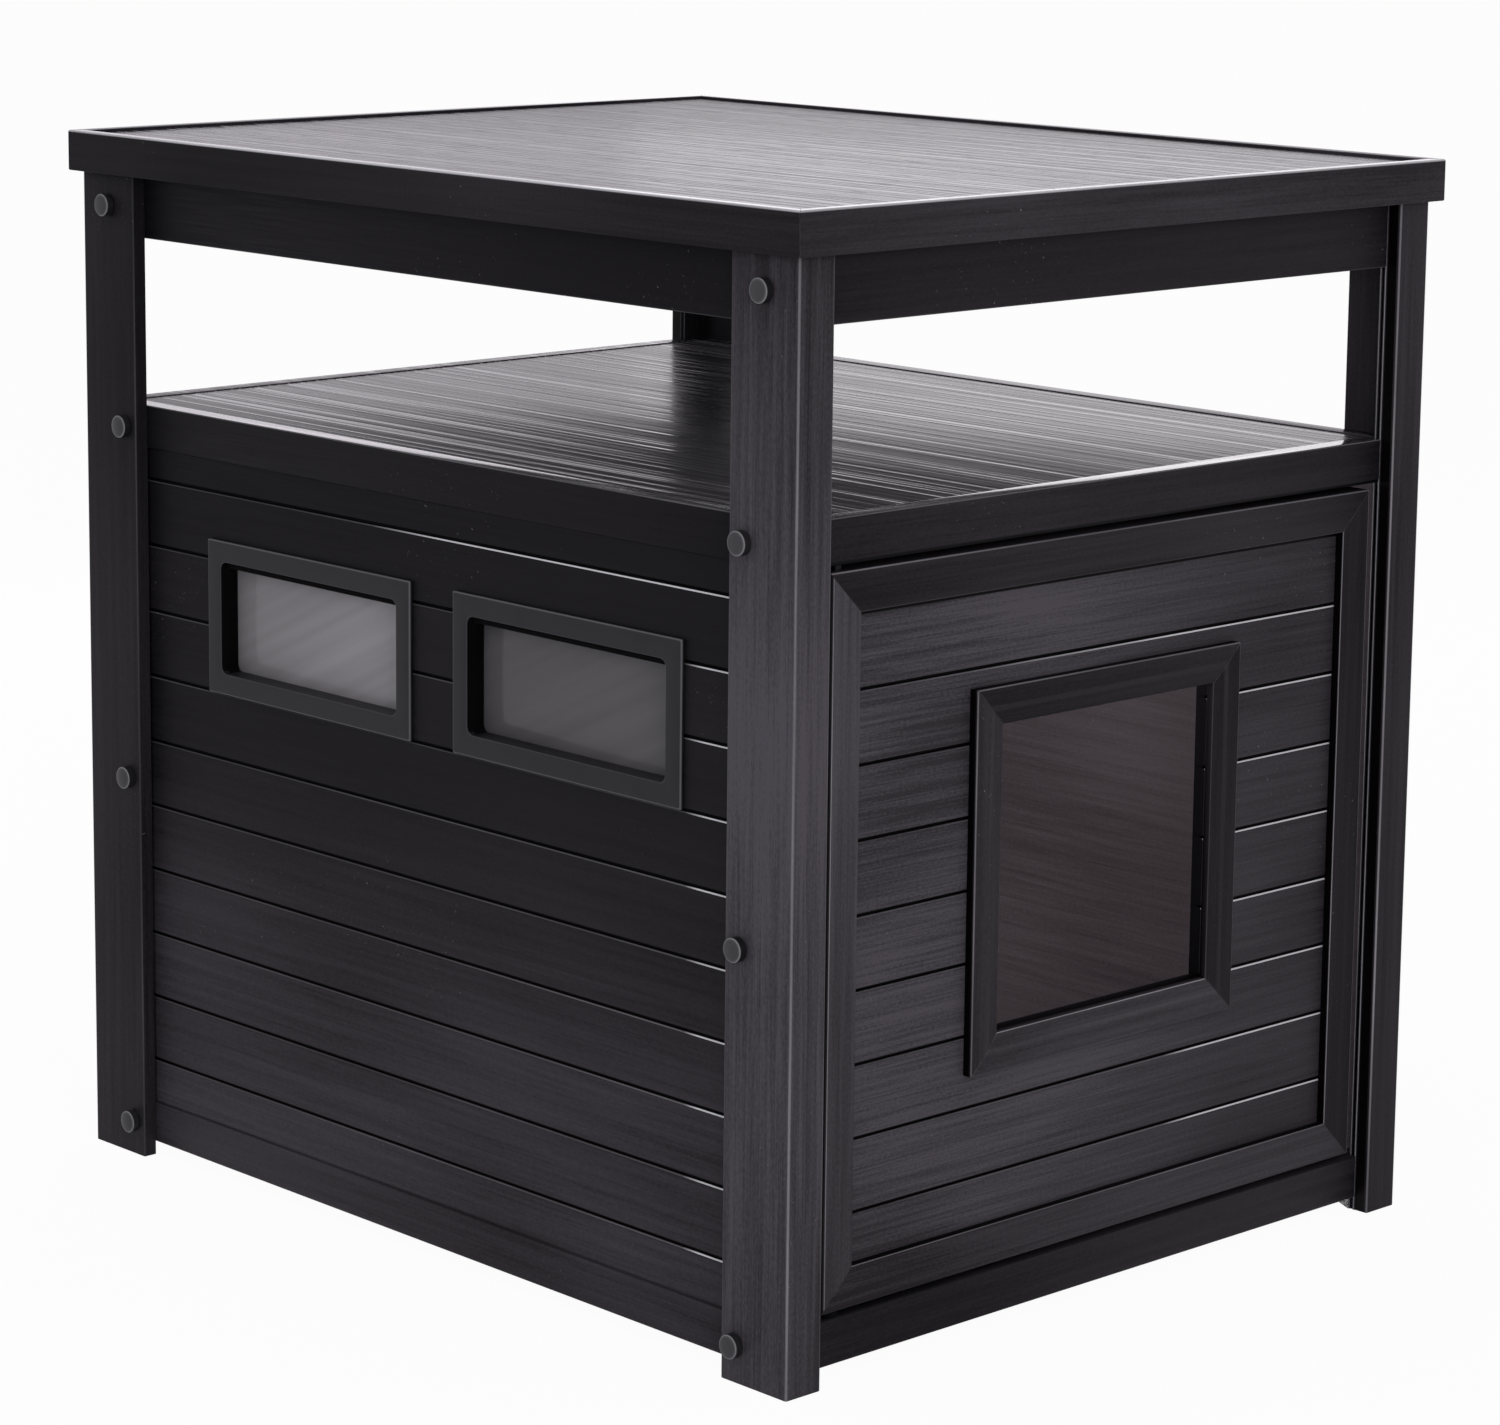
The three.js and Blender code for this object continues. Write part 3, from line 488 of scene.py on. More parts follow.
def paneMaterial(name, look):
    material, tree, place = newMaterial(name)
    slantBands = streaks(tree, place, "Y", *look["slantBand"], 1.0, (look["slant"], 0, 0))
    own = addNode(tree, "Attribute", {"attribute_name": "tone"}).outputs["Fac"]
    slantBanded = addNode(tree, "MapRange", {}, [slantBands, *wideSpan, *look["slantBanded"]])
    hazeAndLight = addNode(tree, "Math", {"operation": "MULTIPLY"}, [own, slantBanded])
    shader = addNode(tree, "BsdfPrincipled", {}, {
        "Base Color": layered(tree, look["dark"], [(hazeAndLight, look["light"])]), "Roughness": look["rough"],
        "Transmission Weight": look["clear"], "IOR": look["ior"], "Specular IOR Level": look["specular"]})
    addNode(tree, "OutputMaterial", {}, {"Surface": shader})
    return material


smokedPane = paneMaterial("smoked cast acrylic", smoked)

# Mild steel, drawn, then zinc plated or blackened: metal with fine lines, here wide enough to show.
drawnSteel = {"line": (0.6, 6), "rough": (0.28, 0.45)}


def steelMaterial(name, dark, light, look=drawnSteel):
    material, tree, place = newMaterial(name)
    lines = streaks(tree, place, "X", *look["line"], 2.0)
    shader = addNode(tree, "BsdfPrincipled", {}, {
        "Base Color": layered(tree, dark, [(lines, light)]),
        "Roughness": addNode(tree, "MapRange", {}, [lines, *wideSpan, *look["rough"]]),
        "Metallic": 1.0})
    addNode(tree, "OutputMaterial", {}, {"Surface": shader})
    return material


steel = steelMaterial("zinc-plated steel", "9c9ca0", "c6c7ca")
blackSteel = steelMaterial("blackened steel", "141416", "242427")

# The tops of the rims and of the near shelf rails are planed and waxed: smoother than the brushed
# faces, with a second, waxy reflection that is pale when seen flat. Their colour is paler than the
# brushed faces', partly as painted sheen.
waxed = {"dark": "3a383e", "light": "6a686e", "drag": (1.5, 70), "rough": (0.2, 0.3),
         "coat": 1.0, "coatRough": 0.1}


def waxedMaterial(name, axis, look=waxed):
    material, tree, place = newMaterial(name)
    drag = addNode(tree, "MapRange", {}, [
        streaks(tree, place, axis, *look["drag"]), *narrowSpan, 0, 1])
    shader = addNode(tree, "BsdfPrincipled", {}, {
        "Base Color": layered(tree, look["dark"], [(drag, look["light"])]),
        "Roughness": addNode(tree, "MapRange", {}, [drag, 0, 1, *look["rough"]]),
        "Coat Weight": look["coat"], "Coat Roughness": look["coatRough"]})
    addNode(tree, "OutputMaterial", {}, {"Surface": shader})
    return material


polished = {axis: waxedMaterial(f"planed and waxed composite, grain along {axis}", axis) for axis in "XY"}
print("materials")

# A post is an L-shaped extrusion with two beads down the inner edge of its narrow leg, which shows
# at the front and the back. The corner is the outer one. That leg's inner side is painted black as
# shade, and the arrises and the beads' crests are painted pale, as wear and highlights.
post = {
    "outer": (261, 321.5), "top": 635.7, "sideLeg": (9, 52), "endLeg": (26, 14.5), "softness": 1.4,
    "beads": (9.2, 12.8), "beadWidth": 1.6, "beadHeight": 0.8, "beadCrest": (0.25, 0.75),
    "blackFrom": (1.9, 2.2), "endSoftness": 0.5,
    # How strongly each post's arrises are painted pale, as wear and painted highlights.
    "rubbedAndHighlight": {"front_left": 0.3, "front_right": 0.7, "rear_left": 0.25, "rear_right": 0.25},
    # Painted light and shade up each post, by height.
    "paintedShades": {
        "front_left": (2, [0, 300, 600], [0.55, 0.37, 0.36]),
        "front_right": (2, [0, 450, 600], [-0.03, -0.03, 0.16]),
        "rear_left": (2, [0, 250, 600], [0.04, -0.15, -0.16]),
        "rear_right": -0.12}}


def postPart(sideX, sideY, rubbedAndHighlight, look=post):
    inner, depth = look["endLeg"]
    thick, wide = look["sideLeg"]
    clean, black = look["blackFrom"]
    rows = [(0, 0, look["softness"], 1, 0), (inner, 0, 1.2, 0.7, 0),
            (inner, clean, 0.1, 0, 0), (inner, black, 0.1, 0, 1)]
    for inset in look["beads"]:
        crest = inner + look["beadHeight"]
        near, far = [inset + look["beadWidth"] * share for share in look["beadCrest"]]
        rows += [(inner, inset, 0.15, 0, 1), (crest, near, 0.35, 0.8, 0), (crest, far, 0.35, 0.8, 0),
                 (inner, inset + look["beadWidth"], 0.15, 0, 1)]
    rows += [(inner, depth, 0.08, 0, 0), (thick, depth, 0.8, 0, 0),
             (thick, wide, 0.5, 0.2, 0), (0, wide, 1, 0.3, 0)]
    basis = [(-sideX, 0, 0), (0, -sideY, 0), (0, 0, 1)]
    origin = (sideX * look["outer"][0], sideY * look["outer"][1], 0)
    return bar(*rowSection(rows, rubbedAndHighlight), basis, origin, (0, look["top"]), soft=look["endSoftness"])


for endName in ("front", "rear"):
    for sideName in ("left", "right"):
        name = f"{endName}_{sideName}"
        part = postPart(sides[sideName], sides[endName], post["rubbedAndHighlight"][name])
        makePiece(f"post.{name}", [part], [boards["Z"]], stands=[f"post_{name}"],
                  paintedShade=post["paintedShades"][name])
print("posts")

# Aprons, shelf rails and base rails are boards between the posts. Some have a ledge inside. The
# shelf rail over the door has a broad lower arris, painted black as a shadow over the door's gap.
# Wears and cuts go round the section: outer bottom, inner bottom, inner top, outer top; a wear above
# 0 is painted pale, as wear and highlights, and below 0 is painted shade.
rail = {
    "sideFace": 251.7, "sideRun": 306.7, "endFace": 312.5, "endRun": 233.9, "thick": 13,
    "levels": {"apron": (586, 635.7), "shelf_rail": (455.7, 482.3), "base_rail": (8.5, 35)},
    "ledges": {"shelf_rail": (16, 17.8, 283.2), "base_rail": (9, 14, 290.2)},
    "overlap": 1, "ledgeSoftness": 0.5, "ledgeWearsAndHighlight": (0, 0.3, 0.3, 0),
    "softness": 0.9, "overDoor": {"softness": 3, "wearAndShading": -2},
    "wearsAndShading": {"apron": (0.1, 0, 0, 0), "shelf_rail": (0, 0, 0.1, 0.25), "base_rail": (0.1, 0, 0, -0.7)},
    # Painted light and shade of each rail.
    "paintedShades": {"apron.left": -0.2, "apron.front": -0.12, "shelf_rail.left": -0.18,
               "shelf_rail.front": -0.06, "base_rail.left": 0.1, "base_rail.front": -0.04}}


# The way inward from a side, the way along it, and whether that is lengthwise.
def sideWays(side):
    lengthwise = runs[side] == "Y"
    inward = (-sides[side], 0, 0) if lengthwise else (0, -sides[side], 0)
    return inward, (0, 1, 0) if lengthwise else (1, 0, 0), lengthwise


# A board's section, from its outer face inward and from its bottom up.
def boardSection(thick, low, high, cuts, wearsAndShading):
    return softSection([(0, low), (thick, low), (thick, high), (0, high)], cuts, wearsAndShading)


def railParts(side, level, look=rail):
    low, high = look["levels"][level]
    inward, along, lengthwise = sideWays(side)
    face, run = (look["sideFace"], look["sideRun"]) if lengthwise else (look["endFace"], look["endRun"])
    origin = np.array(inward) * -face
    cuts, wearsAndShading = [look["softness"]] * 4, list(look["wearsAndShading"][level])
    if (level, side) == ("shelf_rail", "front"):
        cuts[0], wearsAndShading[0] = look["overDoor"]["softness"], look["overDoor"]["wearAndShading"]
    basis = [inward, (0, 0, 1), along]
    parts = [bar(*boardSection(look["thick"], low, high, cuts, wearsAndShading), basis, origin, (-run, run))]
    if level == "shelf_rail":
        parts[0]["finishes"] = topmost(parts[0], high)
    if level in look["ledges"]:
        wide, tall, sideReach = look["ledges"][level]
        ledge = boardSection(wide + look["overlap"], low, low + tall,
                             look["ledgeSoftness"], look["ledgeWearsAndHighlight"])
        inset = np.array(inward) * (look["thick"] - look["overlap"])
        reach = sideReach if lengthwise else look["endRun"]
        parts.append(bar(*ledge, basis, origin + inset, (-reach, reach)))
    return parts


# The tops of the far shelf rails are seen flat, as the shelf is, and look like it.
for level in rail["levels"]:
    for side in sides:
        crown = polished[runs[side]] if side in ("left", "front") else shelfFinish
        makePiece(f"{level}.{side}", railParts(side, level), [boards[runs[side]], crown],
                  stands=[f"{level}_{side}"], paintedShade=rail["paintedShades"].get(f"{level}.{side}", 0.0))
print("rails")

# Four mitred rims lie round a panel that is 2 mm below their lips.
rim = {"half": (267.5, 328), "top": 650, "tall": 25, "skirt": 6.2, "lip": 8, "seat": 14, "softness": 1.3,
       "mitre": 0.21, "endSoftness": 0.25, "endWearAndHighlight": 0.2,
       # Painted light and shade along the left and front rims.
       "paintedShades": {"left": (1, [-328, 328], [-0.05, -0.17]), "front": (0, [-267, 267], [0.02, 0.2])}}


def rimPart(side, look=rim):
    tall, skirt, lip, seat = [look[key] for key in ("tall", "skirt", "lip", "seat")]
    rows = [(0, -tall, 1, 0, 0), (skirt, -tall, 0.5, 0, 0), (skirt, -seat, 0.3, 0, 0),
            (lip, -seat, 0.3, 0, 0), (lip, 0, 0.8, 0.1, 0), (0, 0, look["softness"], 1, 0)]
    inward, along, lengthwise = sideWays(side)
    face, run = look["half"] if lengthwise else look["half"][::-1]
    reach = run - look["mitre"]
    origin = np.array(inward) * -face + np.array((0, 0, look["top"]))
    part = bar(*rowSection(rows), [inward, (0, 0, 1), along], origin, (-reach, reach), (1, -1),
               look["endSoftness"], look["endWearAndHighlight"])
    part["finishes"] = topmost(part, look["top"])
    return part


for side in sides:
    makePiece(f"topRim.{side}", [rimPart(side)], [boards[runs[side]], polished[runs[side]]],
              stands=[f"top_rim_{side}"], paintedShade=rim["paintedShades"].get(side, 0.0))

# The sheets have fine ribs along Y, a little unevenly spaced and tall, on a grid with a point each
# step across and rows along. Before the jitter, no rib's middle lies in the margins at its edges.
ribs = {"pitch": 7.5, "jitter": 3.2, "width": 1.5, "height": 0.2, "least": 0.35, "margins": (6, 5),
        "seed": 7, "crest": 0.6, "step": 0.25, "rows": 9}


# The rib at distance d from its middle stands cos^2(pi d / width) of its own height.
def ribHeights(x, half, look=ribs):
    dice = np.random.default_rng(look["seed"])
    middles = np.arange(-half + look["margins"][0], half - look["margins"][1], look["pitch"])
    middles = middles + dice.uniform(-look["jitter"], look["jitter"], len(middles))
    tall = dice.uniform(look["least"], 1.0, len(middles)) * look["height"]
    away = np.clip(np.abs(x[:, None] - middles) / look["width"], 0, 0.5)
    return np.max(np.cos(math.pi * away) ** 2 * tall, axis=1)


# A sheet whose face has the ribs, their upper halves painted pale as highlights, and whose back is
# flat. It is duller towards one corner, by how large x + slant y is.
def ribbedSheet(look):
    half = look["half"][0]
    x = np.append(np.arange(-half, half, ribs["step"]), half)
    y = np.linspace(-1, 1, ribs["rows"]) * look["half"][1]
    tall = ribHeights(x, half)
    z = look["levels"][1] - ribs["height"] + tall
    front = np.stack(np.broadcast_arrays(x[:, None], y[None], z[:, None]), -1)
    back = front.copy()
    back[..., 2] = look["levels"][0]
    crest = np.clip(tall / ribs["height"] - 0.5, 0, 1) * 2 * ribs["crest"]
    keep = np.ones((len(x) - 1, len(y) - 1), bool)
    part = sheet(front, back, keep, np.broadcast_to(crest[:, None], front.shape[:2]))
    part["tone"] = np.tile(np.interp(x[:, None] + look["slant"] * y, *look["dull"]).reshape(-1), 2)
    return [part]


topPanel = {"half": (259.2, 319.7), "levels": (636, 648), "slant": 0.6,
            "dull": ([-451, 0, 451], [0, 0.01, 0.14])}
makePiece("topPanel", ribbedSheet(topPanel), [topFinish], stands=["top_panel"], smooth=50)

# The shelf is the same kind of sheet, let in between its rails.
shelf = {"half": (238.4, 299.2), "levels": (473.8, 481.8), "slant": 0.6,
         "dull": ([-418, -300, -170, -93, 0, 100], [0.44, 0.32, 0.16, 0.12, 0.04, 0.02])}
makePiece("shelfPanel", ribbedSheet(shelf), [shelfFinish], stands=["shelf_panel"], smooth=50)
print("top and shelf")

# Sheets with V-grooves: each groove has a rounded lip above and a rounded lip below, painted pale
# as wear and a highlight. Its profile is rows of (height in groove widths, depth in groove depths,
# wear and painted shade), from the top down; the groove is painted black as shade. Fall is the
# painted light and shade at shares of the way down, darker towards the top, and each plank adds
# its own random tone from the spread. The pale lines are as strong as the rubbed-and-highlight
# numbers say at places along, first for the first groove and then for the others.
grooves = {"first": 19.5, "plank": 41.5, "least": 12, "size": (3, 1.8), "shadowEdge": 0.4, "profile": [
    (0.5, 0, 0), (0.44, 0.1, -0.6), (0.3, 0.45, -1), (0.05, 1, -1), (-0.05, 1, -1),
    (-0.23, 0.5, -1), (-0.27, 0.25, 1), (-0.5, 0, 1), (-0.54, 0, -0.5), (-0.7, 0, 0)]}
wall = {
    "levels": (35.3, 455.4), "face": 250.2, "thick": 8, "run": 306.7, "rearFace": 311, "rearRun": 233.9,
    "windows": {"front": -126, "rear": 109}, "windowLevel": 359.25, "cut": (87.3, 37.05),
    # The fall is painted light and shade, darker towards the top; the spread is each plank's random tone.
    "tones": {"fall": ([0, 0.3, 0.55, 0.75, 1], [-0.2, -0.19, -0.1, 0.09, 0.19]), "spread": 0.03, "seed": 3},
    "rubbedAndHighlight": (([-300, -20, 50, 300], [2.2, 1.6, 0.15, 0.08]),
               ([-300, -240, -225, 0, 300], [2.2, 1.6, 0.18, 0.1, 0.08]))}


# The heights down a sheet, how far each is sunk below the face, and its wear-and-shading value and
# tone. A groove is painted black as shade, with a pale line on its lower lip, as wear and a painted
# highlight, which is marked 2 in the first groove and 1 in the others. Extra heights are plain rows,
# and shadows are more black lines of painted shadow, (low, high).
def plankLine(levels, tones, extra, shadows=(), look=grooves):
    low, high = levels
    wide, deep = look["size"]
    middles = np.arange(high - look["first"], low + look["least"], -look["plank"])
    spread, sunk, wearAndShading = np.array(look["profile"]).T
    z = (middles[:, None] + spread * wide).reshape(-1)
    plain = np.concatenate([[low, high], [v for v in extra if np.all(np.abs(middles - v) > wide)]])
    heights = np.concatenate([z, plain])
    depths = np.concatenate([np.tile(sunk * deep, len(middles)), 0 * plain])
    lips = np.where(np.arange(len(middles)) == 0, 2, 1)
    wearsAndShading = np.concatenate([(np.where(wearAndShading > 0, lips[:, None], 1) * wearAndShading).reshape(-1), 0 * plain])
    for bottom, top in shadows:
        heights = np.concatenate([heights, [bottom, bottom + look["shadowEdge"], top]])
        depths = np.concatenate([depths, [0, 0, 0]])
        wearsAndShading = np.concatenate([wearsAndShading, [0, -1, -1]])
    order = np.argsort(heights)
    heights = heights[order]
    plankAbove = np.searchsorted(-middles, -heights)  # counted from the top
    steps = np.interp((high - heights) / (high - low), *tones["fall"])
    dice = np.random.default_rng(tones["seed"])
    own = dice.uniform(-tones["spread"], tones["spread"], len(middles) + 1)
    return heights, depths[order], wearsAndShading[order], steps + own[plankAbove]


# A plank sheet: point (i, j) is run_i along, z_j up and sunk_j below the face. Its holes are
# boxes in (along, z).
def plankSheet(stations, line, face, thick, lengthwise, away, holes, rubbedAndHighlight):
    z, sunk, wearAndShading, tone = line
    ends = max(stations)
    run = np.unique(np.clip(np.concatenate([stations, rubbedAndHighlight[0][0], rubbedAndHighlight[1][0]]), -ends, ends))
    out = away * (face - sunk)
    grid = np.broadcast_arrays(run[:, None], out[None], z[None])
    front = np.stack([grid[1], grid[0], grid[2]] if lengthwise else grid, -1)
    back = front.copy()
    back[..., 0 if lengthwise else 1] = away * (face - thick)
    alongMiddle, zMiddle = (run[1:] + run[:-1]) / 2, (z[1:] + z[:-1]) / 2
    keep = np.ones((len(run) - 1, len(z) - 1), bool)
    for left, right, low, high in holes:
        beside = (alongMiddle > left) & (alongMiddle < right)
        keep &= ~(beside[:, None] & ((zMiddle > low) & (zMiddle < high))[None])
    first, others = [np.interp(run, *places)[:, None] for places in rubbedAndHighlight]
    part = sheet(front, back, keep, np.where(wearAndShading > 1, first, np.where(wearAndShading > 0, others * wearAndShading, wearAndShading)))
    part["tone"] = np.tile(np.broadcast_to(tone, front.shape[:2]).reshape(-1), 2)
    return part


def wallParts(side, look=wall):
    lengthwise = runs[side] == "Y"
    wide, tall = look["cut"]
    low, high = look["windowLevel"] - tall, look["windowLevel"] + tall
    holes = [(y - wide, y + wide, low, high) for y in look["windows"].values()] if side == "left" else []
    run = look["run"] if lengthwise else look["rearRun"]
    stations = [-run, run] + [edge for hole in holes for edge in hole[:2]]
    face = look["face"] if lengthwise else look["rearFace"]
    line = plankLine(look["levels"], look["tones"], [low, high])
    return [plankSheet(stations, line, face, look["thick"], lengthwise, sides[side], holes, look["rubbedAndHighlight"])]


for side in ("left", "right", "rear"):
    makePiece(f"plankWall.{side}", wallParts(side), [boards[runs[side]], sawnAndShaded, backs[runs[side]]],
              stands=[f"wall_{side}"])

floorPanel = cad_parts["floor_panel"]
floorPanel.data.materials.clear()
floorPanel.data.materials.append(backs["Y"])
print("walls")

# A moulded bezel for each window: a flat flange with a soft edge and a sleeve through the wall,
# which is painted black as shade deeper than the shaded depth, but for its sill. Inner and outer
# are rectangles as frameRing takes them.
bezel = {"inner": (85, 34.75, 5, 0), "outer": (98, 47.75, 0.9, 0), "face": 253, "thick": 2.5, "end": 240,
         "flange": 13, "sleeve": 2, "sleeveShare": 0.05, "shadeDepth": -0.3, "sill": 1}
windowBasis = [(0, 1, 0), (0, 0, 1), (-1, 0, 0)]


def bezelParts(y, look=bezel):
    inner, thick, flange, sleeve = look["end"] - look["face"], look["thick"], look["flange"], look["sleeve"]
    rows = [(0, 0, 0.7, 0.1, 0), (flange, 0, 1.1, 0.35, 0), (flange, -thick, 0.4, 0, 0),
            (sleeve, -thick, 0.3, 0, 0), (sleeve, inner, 0.3, 0, 0), (0, inner, 0.3, 0, 0)]
    section, wearAndShading = rowSection(rows)
    section[:, 0] /= flange
    part = frameRing(section, wearAndShading, look["inner"], look["outer"], windowBasis,
                     (-look["face"], y, wall["windowLevel"]))
    following = np.roll(section, -1, axis=0)
    onSleeve = (section[:, 0] < look["sleeveShare"]) & (following[:, 0] < look["sleeveShare"])
    hidden = onSleeve & (following[:, 1] < look["shadeDepth"]) & (section[:, 1] <= 0)
    dark = np.tile(hidden, len(part["faces"]) // len(section))
    sillTop = wall["windowLevel"] - look["inner"][1] + look["sill"]
    above = part["points"][np.array(part["faces"])[:, 0], 2] > sillTop
    # Finish 1, the black rubber, is painted shade on the sleeve.
    part["finishes"] = (dark & above).astype(int)
    return [part]


# A soft black gasket lies inside the sleeve. It is thin at the sides, deep along the top and let
# into the sill.
gasket = {"inner": (84.7, 32.75, 5, -2.1), "outer": (85, 34.98, 5, -0.23), "depths": (-11.5, -4),
          "softness": 0.1}


def gasketParts(y, look=gasket):
    deep, shallow = look["depths"]
    section, wearAndShading = softSection([(0, deep), (0, shallow), (1, shallow), (1, deep)], look["softness"], 0, 2)
    return [frameRing(section, wearAndShading, look["inner"], look["outer"], windowBasis,
                      (-bezel["face"], y, wall["windowLevel"]))]


# Each pane's paleness, its haze with painted light from the cabin behind it, is given at its
# rear edge and at its front edge, where it is paler.
pane = {"half": (93, 42.75), "face": 239.7, "thick": 3, "corner": 2.5, "softness": 0.3,
        "hazeAndLight": {"front": (0.14, 0.18), "rear": (0.34, 0.5)}}


def paneParts(end, y, look=pane):
    wide, tall = look["half"]
    corners = [(-wide, -tall), (wide, -tall), (wide, tall), (-wide, tall)]
    part = bar(*softSection(corners, look["corner"], 0, 4), [(0, 1, 0), (0, 0, 1), (1, 0, 0)],
               (-look["face"], y, wall["windowLevel"]), (0, look["thick"]), soft=look["softness"], endWearAndHighlight=0)
    part["tone"] = np.interp(part["points"][:, 1], [y - wide, y + wide], look["hazeAndLight"][end][::-1])
    return [part]


for end, y in wall["windows"].items():
    makePiece(f"windowBezel.{end}", bezelParts(y), [blackPlastic, rubber],
              stands=[f"window_bezel_{end}"])
    makePiece(f"windowGasket.{end}", gasketParts(y), [rubber])
    makePiece(f"windowPane.{end}", paneParts(end, y), [smokedPane],
              stands=[f"window_pane_{end}"])
print("windows")

# The door: four mitred members round a plank panel, and mitred trim round the entry. Arrises are
# the values of each member's outer and inner arris: above 0 pale, as wear and painted highlights,
# below 0 black, as painted shade. The panel has two more grid columns, which its painted shade and
# its wear and highlights follow.
door = {
    "half": 226, "levels": (38.3, 452.4), "front": 312, "thick": 18, "wide": 23.5, "backLip": 3.7,
    "slotOuter": 12.3, "slotBottom": 17.2, "softness": 1.0, "mitre": 0.21,
    "endSoftness": 0.2, "endWearAndHighlight": 0.15,
    "arrises": {"top": (0.3, 0.1), "left": (-1, 0), "right": (0.5, 0.5), "bottom": (0, 0.3)},
    # Painted light and shade of each member.
    "paintedShades": {"top": -0.02, "left": 0.38, "right": -0.08, "bottom": 0.24}}
doorPanel = {
    "half": 208.5, "levels": (55.8, 434.9), "face": 306, "thick": 8, "first": 50.5, "plank": 42.1,
    # The shadow is a painted shadow: a black line on the planks under the top rail.
    "entry": (-89, 89, 173.6, 351.6), "columns": (-40, 150), "shadow": (425.6, 428.9),
    # The fall is painted light: a paler level for the door's planks.
    "tones": {"fall": ([0, 1], [0.26, 0.22]), "spread": 0.03, "seed": 5},
    "rubbedAndHighlight": (([-208, -90, 20, 120, 208], [0.03, 0.15, 0.8, 2.2, 2.0]),
               ([-208, -90, 60, 110, 208], [0.02, 0.05, 0.1, 2.0, 2.2])),
    # Painted light and shade across the panel, paler at the left.
    "paintedShade": (0, [-208, -60, 120, 208], [0.48, 0.42, -0.05, -0.12])}
entryTrim = {
    "wide": 22, "tall": 6.5, "fall": 1.5, "floor": 0.3, "crease": 0.55, "edge": 1.6, "endWearAndHighlight": 0.25,
    "arrises": {"top": (0.3, 0), "left": (0.35, 0.1), "right": (0.2, 0.1), "bottom": (0.1, 0.6)},
    # Painted light and shade of each trim member.
    "paintedShades": {"top": -0.06, "left": 0.07, "right": -0.1, "bottom": 0.17}}
memberNodes = {"bottom": "door_rail_bottom", "top": "door_rail_top",
               "left": "door_stile_left", "right": "door_stile_right"}
memberGrain = {"bottom": "X", "top": "X", "left": "Z", "right": "Z"}


# The members of a mitred ring in the door's plane: the middle of each outer edge, the way
# inward, the way along, and half its length.
def ringMembers(x, low, high):
    middle, tall = (low + high) / 2, (high - low) / 2
    return {
        "bottom": {"at": (0, low), "inward": (0, 0, 1), "along": (1, 0, 0), "reach": x},
        "top": {"at": (0, high), "inward": (0, 0, -1), "along": (1, 0, 0), "reach": x},
        "left": {"at": (-x, middle), "inward": (1, 0, 0), "along": (0, 0, 1), "reach": tall},
        "right": {"at": (x, middle), "inward": (-1, 0, 0), "along": (0, 0, 1), "reach": tall},
    }


def ringPart(member, section, wearAndShading, back, endWearAndHighlight):
    origin = (member["at"][0], back, member["at"][1])
    reach = member["reach"] - door["mitre"]
    basis = [member["inward"], (0, -1, 0), member["along"]]
    return bar(section, wearAndShading, basis, origin, (-reach, reach), (1, -1), door["endSoftness"], endWearAndHighlight)


# The section of each member, [inward, out]. The outer arris at the left is painted black as the
# shadow of the post, with a thin pale line beside it, as wear and a highlight, and the recess round
# the planks is painted black as shade.
def memberSection(side, look=door):
    wide, lip, slot, outer, thick = [
        look[key] for key in ("wide", "backLip", "slotBottom", "slotOuter", "thick")]
    arris, recess = look["arrises"][side]
    rows = [(0, 0, 0.8, 0, 0), (wide, 0, 0.8, 0, 0), (wide, lip, 0.3, 0, 0), (slot, lip, 0.2, 0, 0),
            (slot, outer, 0.2, 0, 1), (wide, outer, 0.3, 0, 1), (wide, thick - 1, 0.1, 0, 1),
            (wide, thick, look["softness"] * 0.6, recess, 0)]
    if side == "left":
        rows += [(3.0, thick, 0.1, 0, 0), (2.4, thick, 0.1, 0, -0.6), (1.9, thick, 0.1, 0, 1)]
    return rowSection(rows + [(0, thick, look["softness"], arris, 1 if side == "left" else 0)])


for side, member in ringMembers(door["half"], *door["levels"]).items():
    part = ringPart(member, *memberSection(side), door["thick"] - door["front"], door["endWearAndHighlight"])
    makePiece(f"doorFrame.{side}", [part], [boards[memberGrain[side]]], "door",
              [memberNodes[side]], paintedShade=door["paintedShades"][side])

x0, x1, z0, z1 = doorPanel["entry"]
doorLine = plankLine(doorPanel["levels"], doorPanel["tones"], [z0, z1], [doorPanel["shadow"]],
                     dict(grooves, first=doorPanel["first"], plank=doorPanel["plank"]))
stations = [-doorPanel["half"], doorPanel["half"], x0, x1, *doorPanel["columns"]]
planks = plankSheet(stations, doorLine, doorPanel["face"], doorPanel["thick"], False, sides["front"],
                    [doorPanel["entry"]], doorPanel["rubbedAndHighlight"])
makePiece("doorPanel", [planks], [boards["X"], sawnAndShaded, backs["X"]], "door", ["door_panel"],
          paintedShade=doorPanel["paintedShade"])


# The trim stands on the planks: a flat outer band, a soft crease, and an inner band that falls
# towards the entry. Its arrises are painted pale, as wear and highlights, and its sides are painted
# black down to the planks, as shade.
def trimSection(side, look=entryTrim):
    wide, tall, floor = look["wide"], look["tall"], look["floor"]
    outer, inner = look["arrises"][side]
    return rowSection([
        (0, floor, 0.3, 0, 1), (wide, floor, 0.2, 0, 1), (wide, tall - look["fall"], 0.6, inner, 0),
        (wide * look["crease"], tall, 2.5, 0.03, 0), (0, tall, 0.9, outer, 0),
        (0, tall - look["edge"], 0.2, 0, 1)])


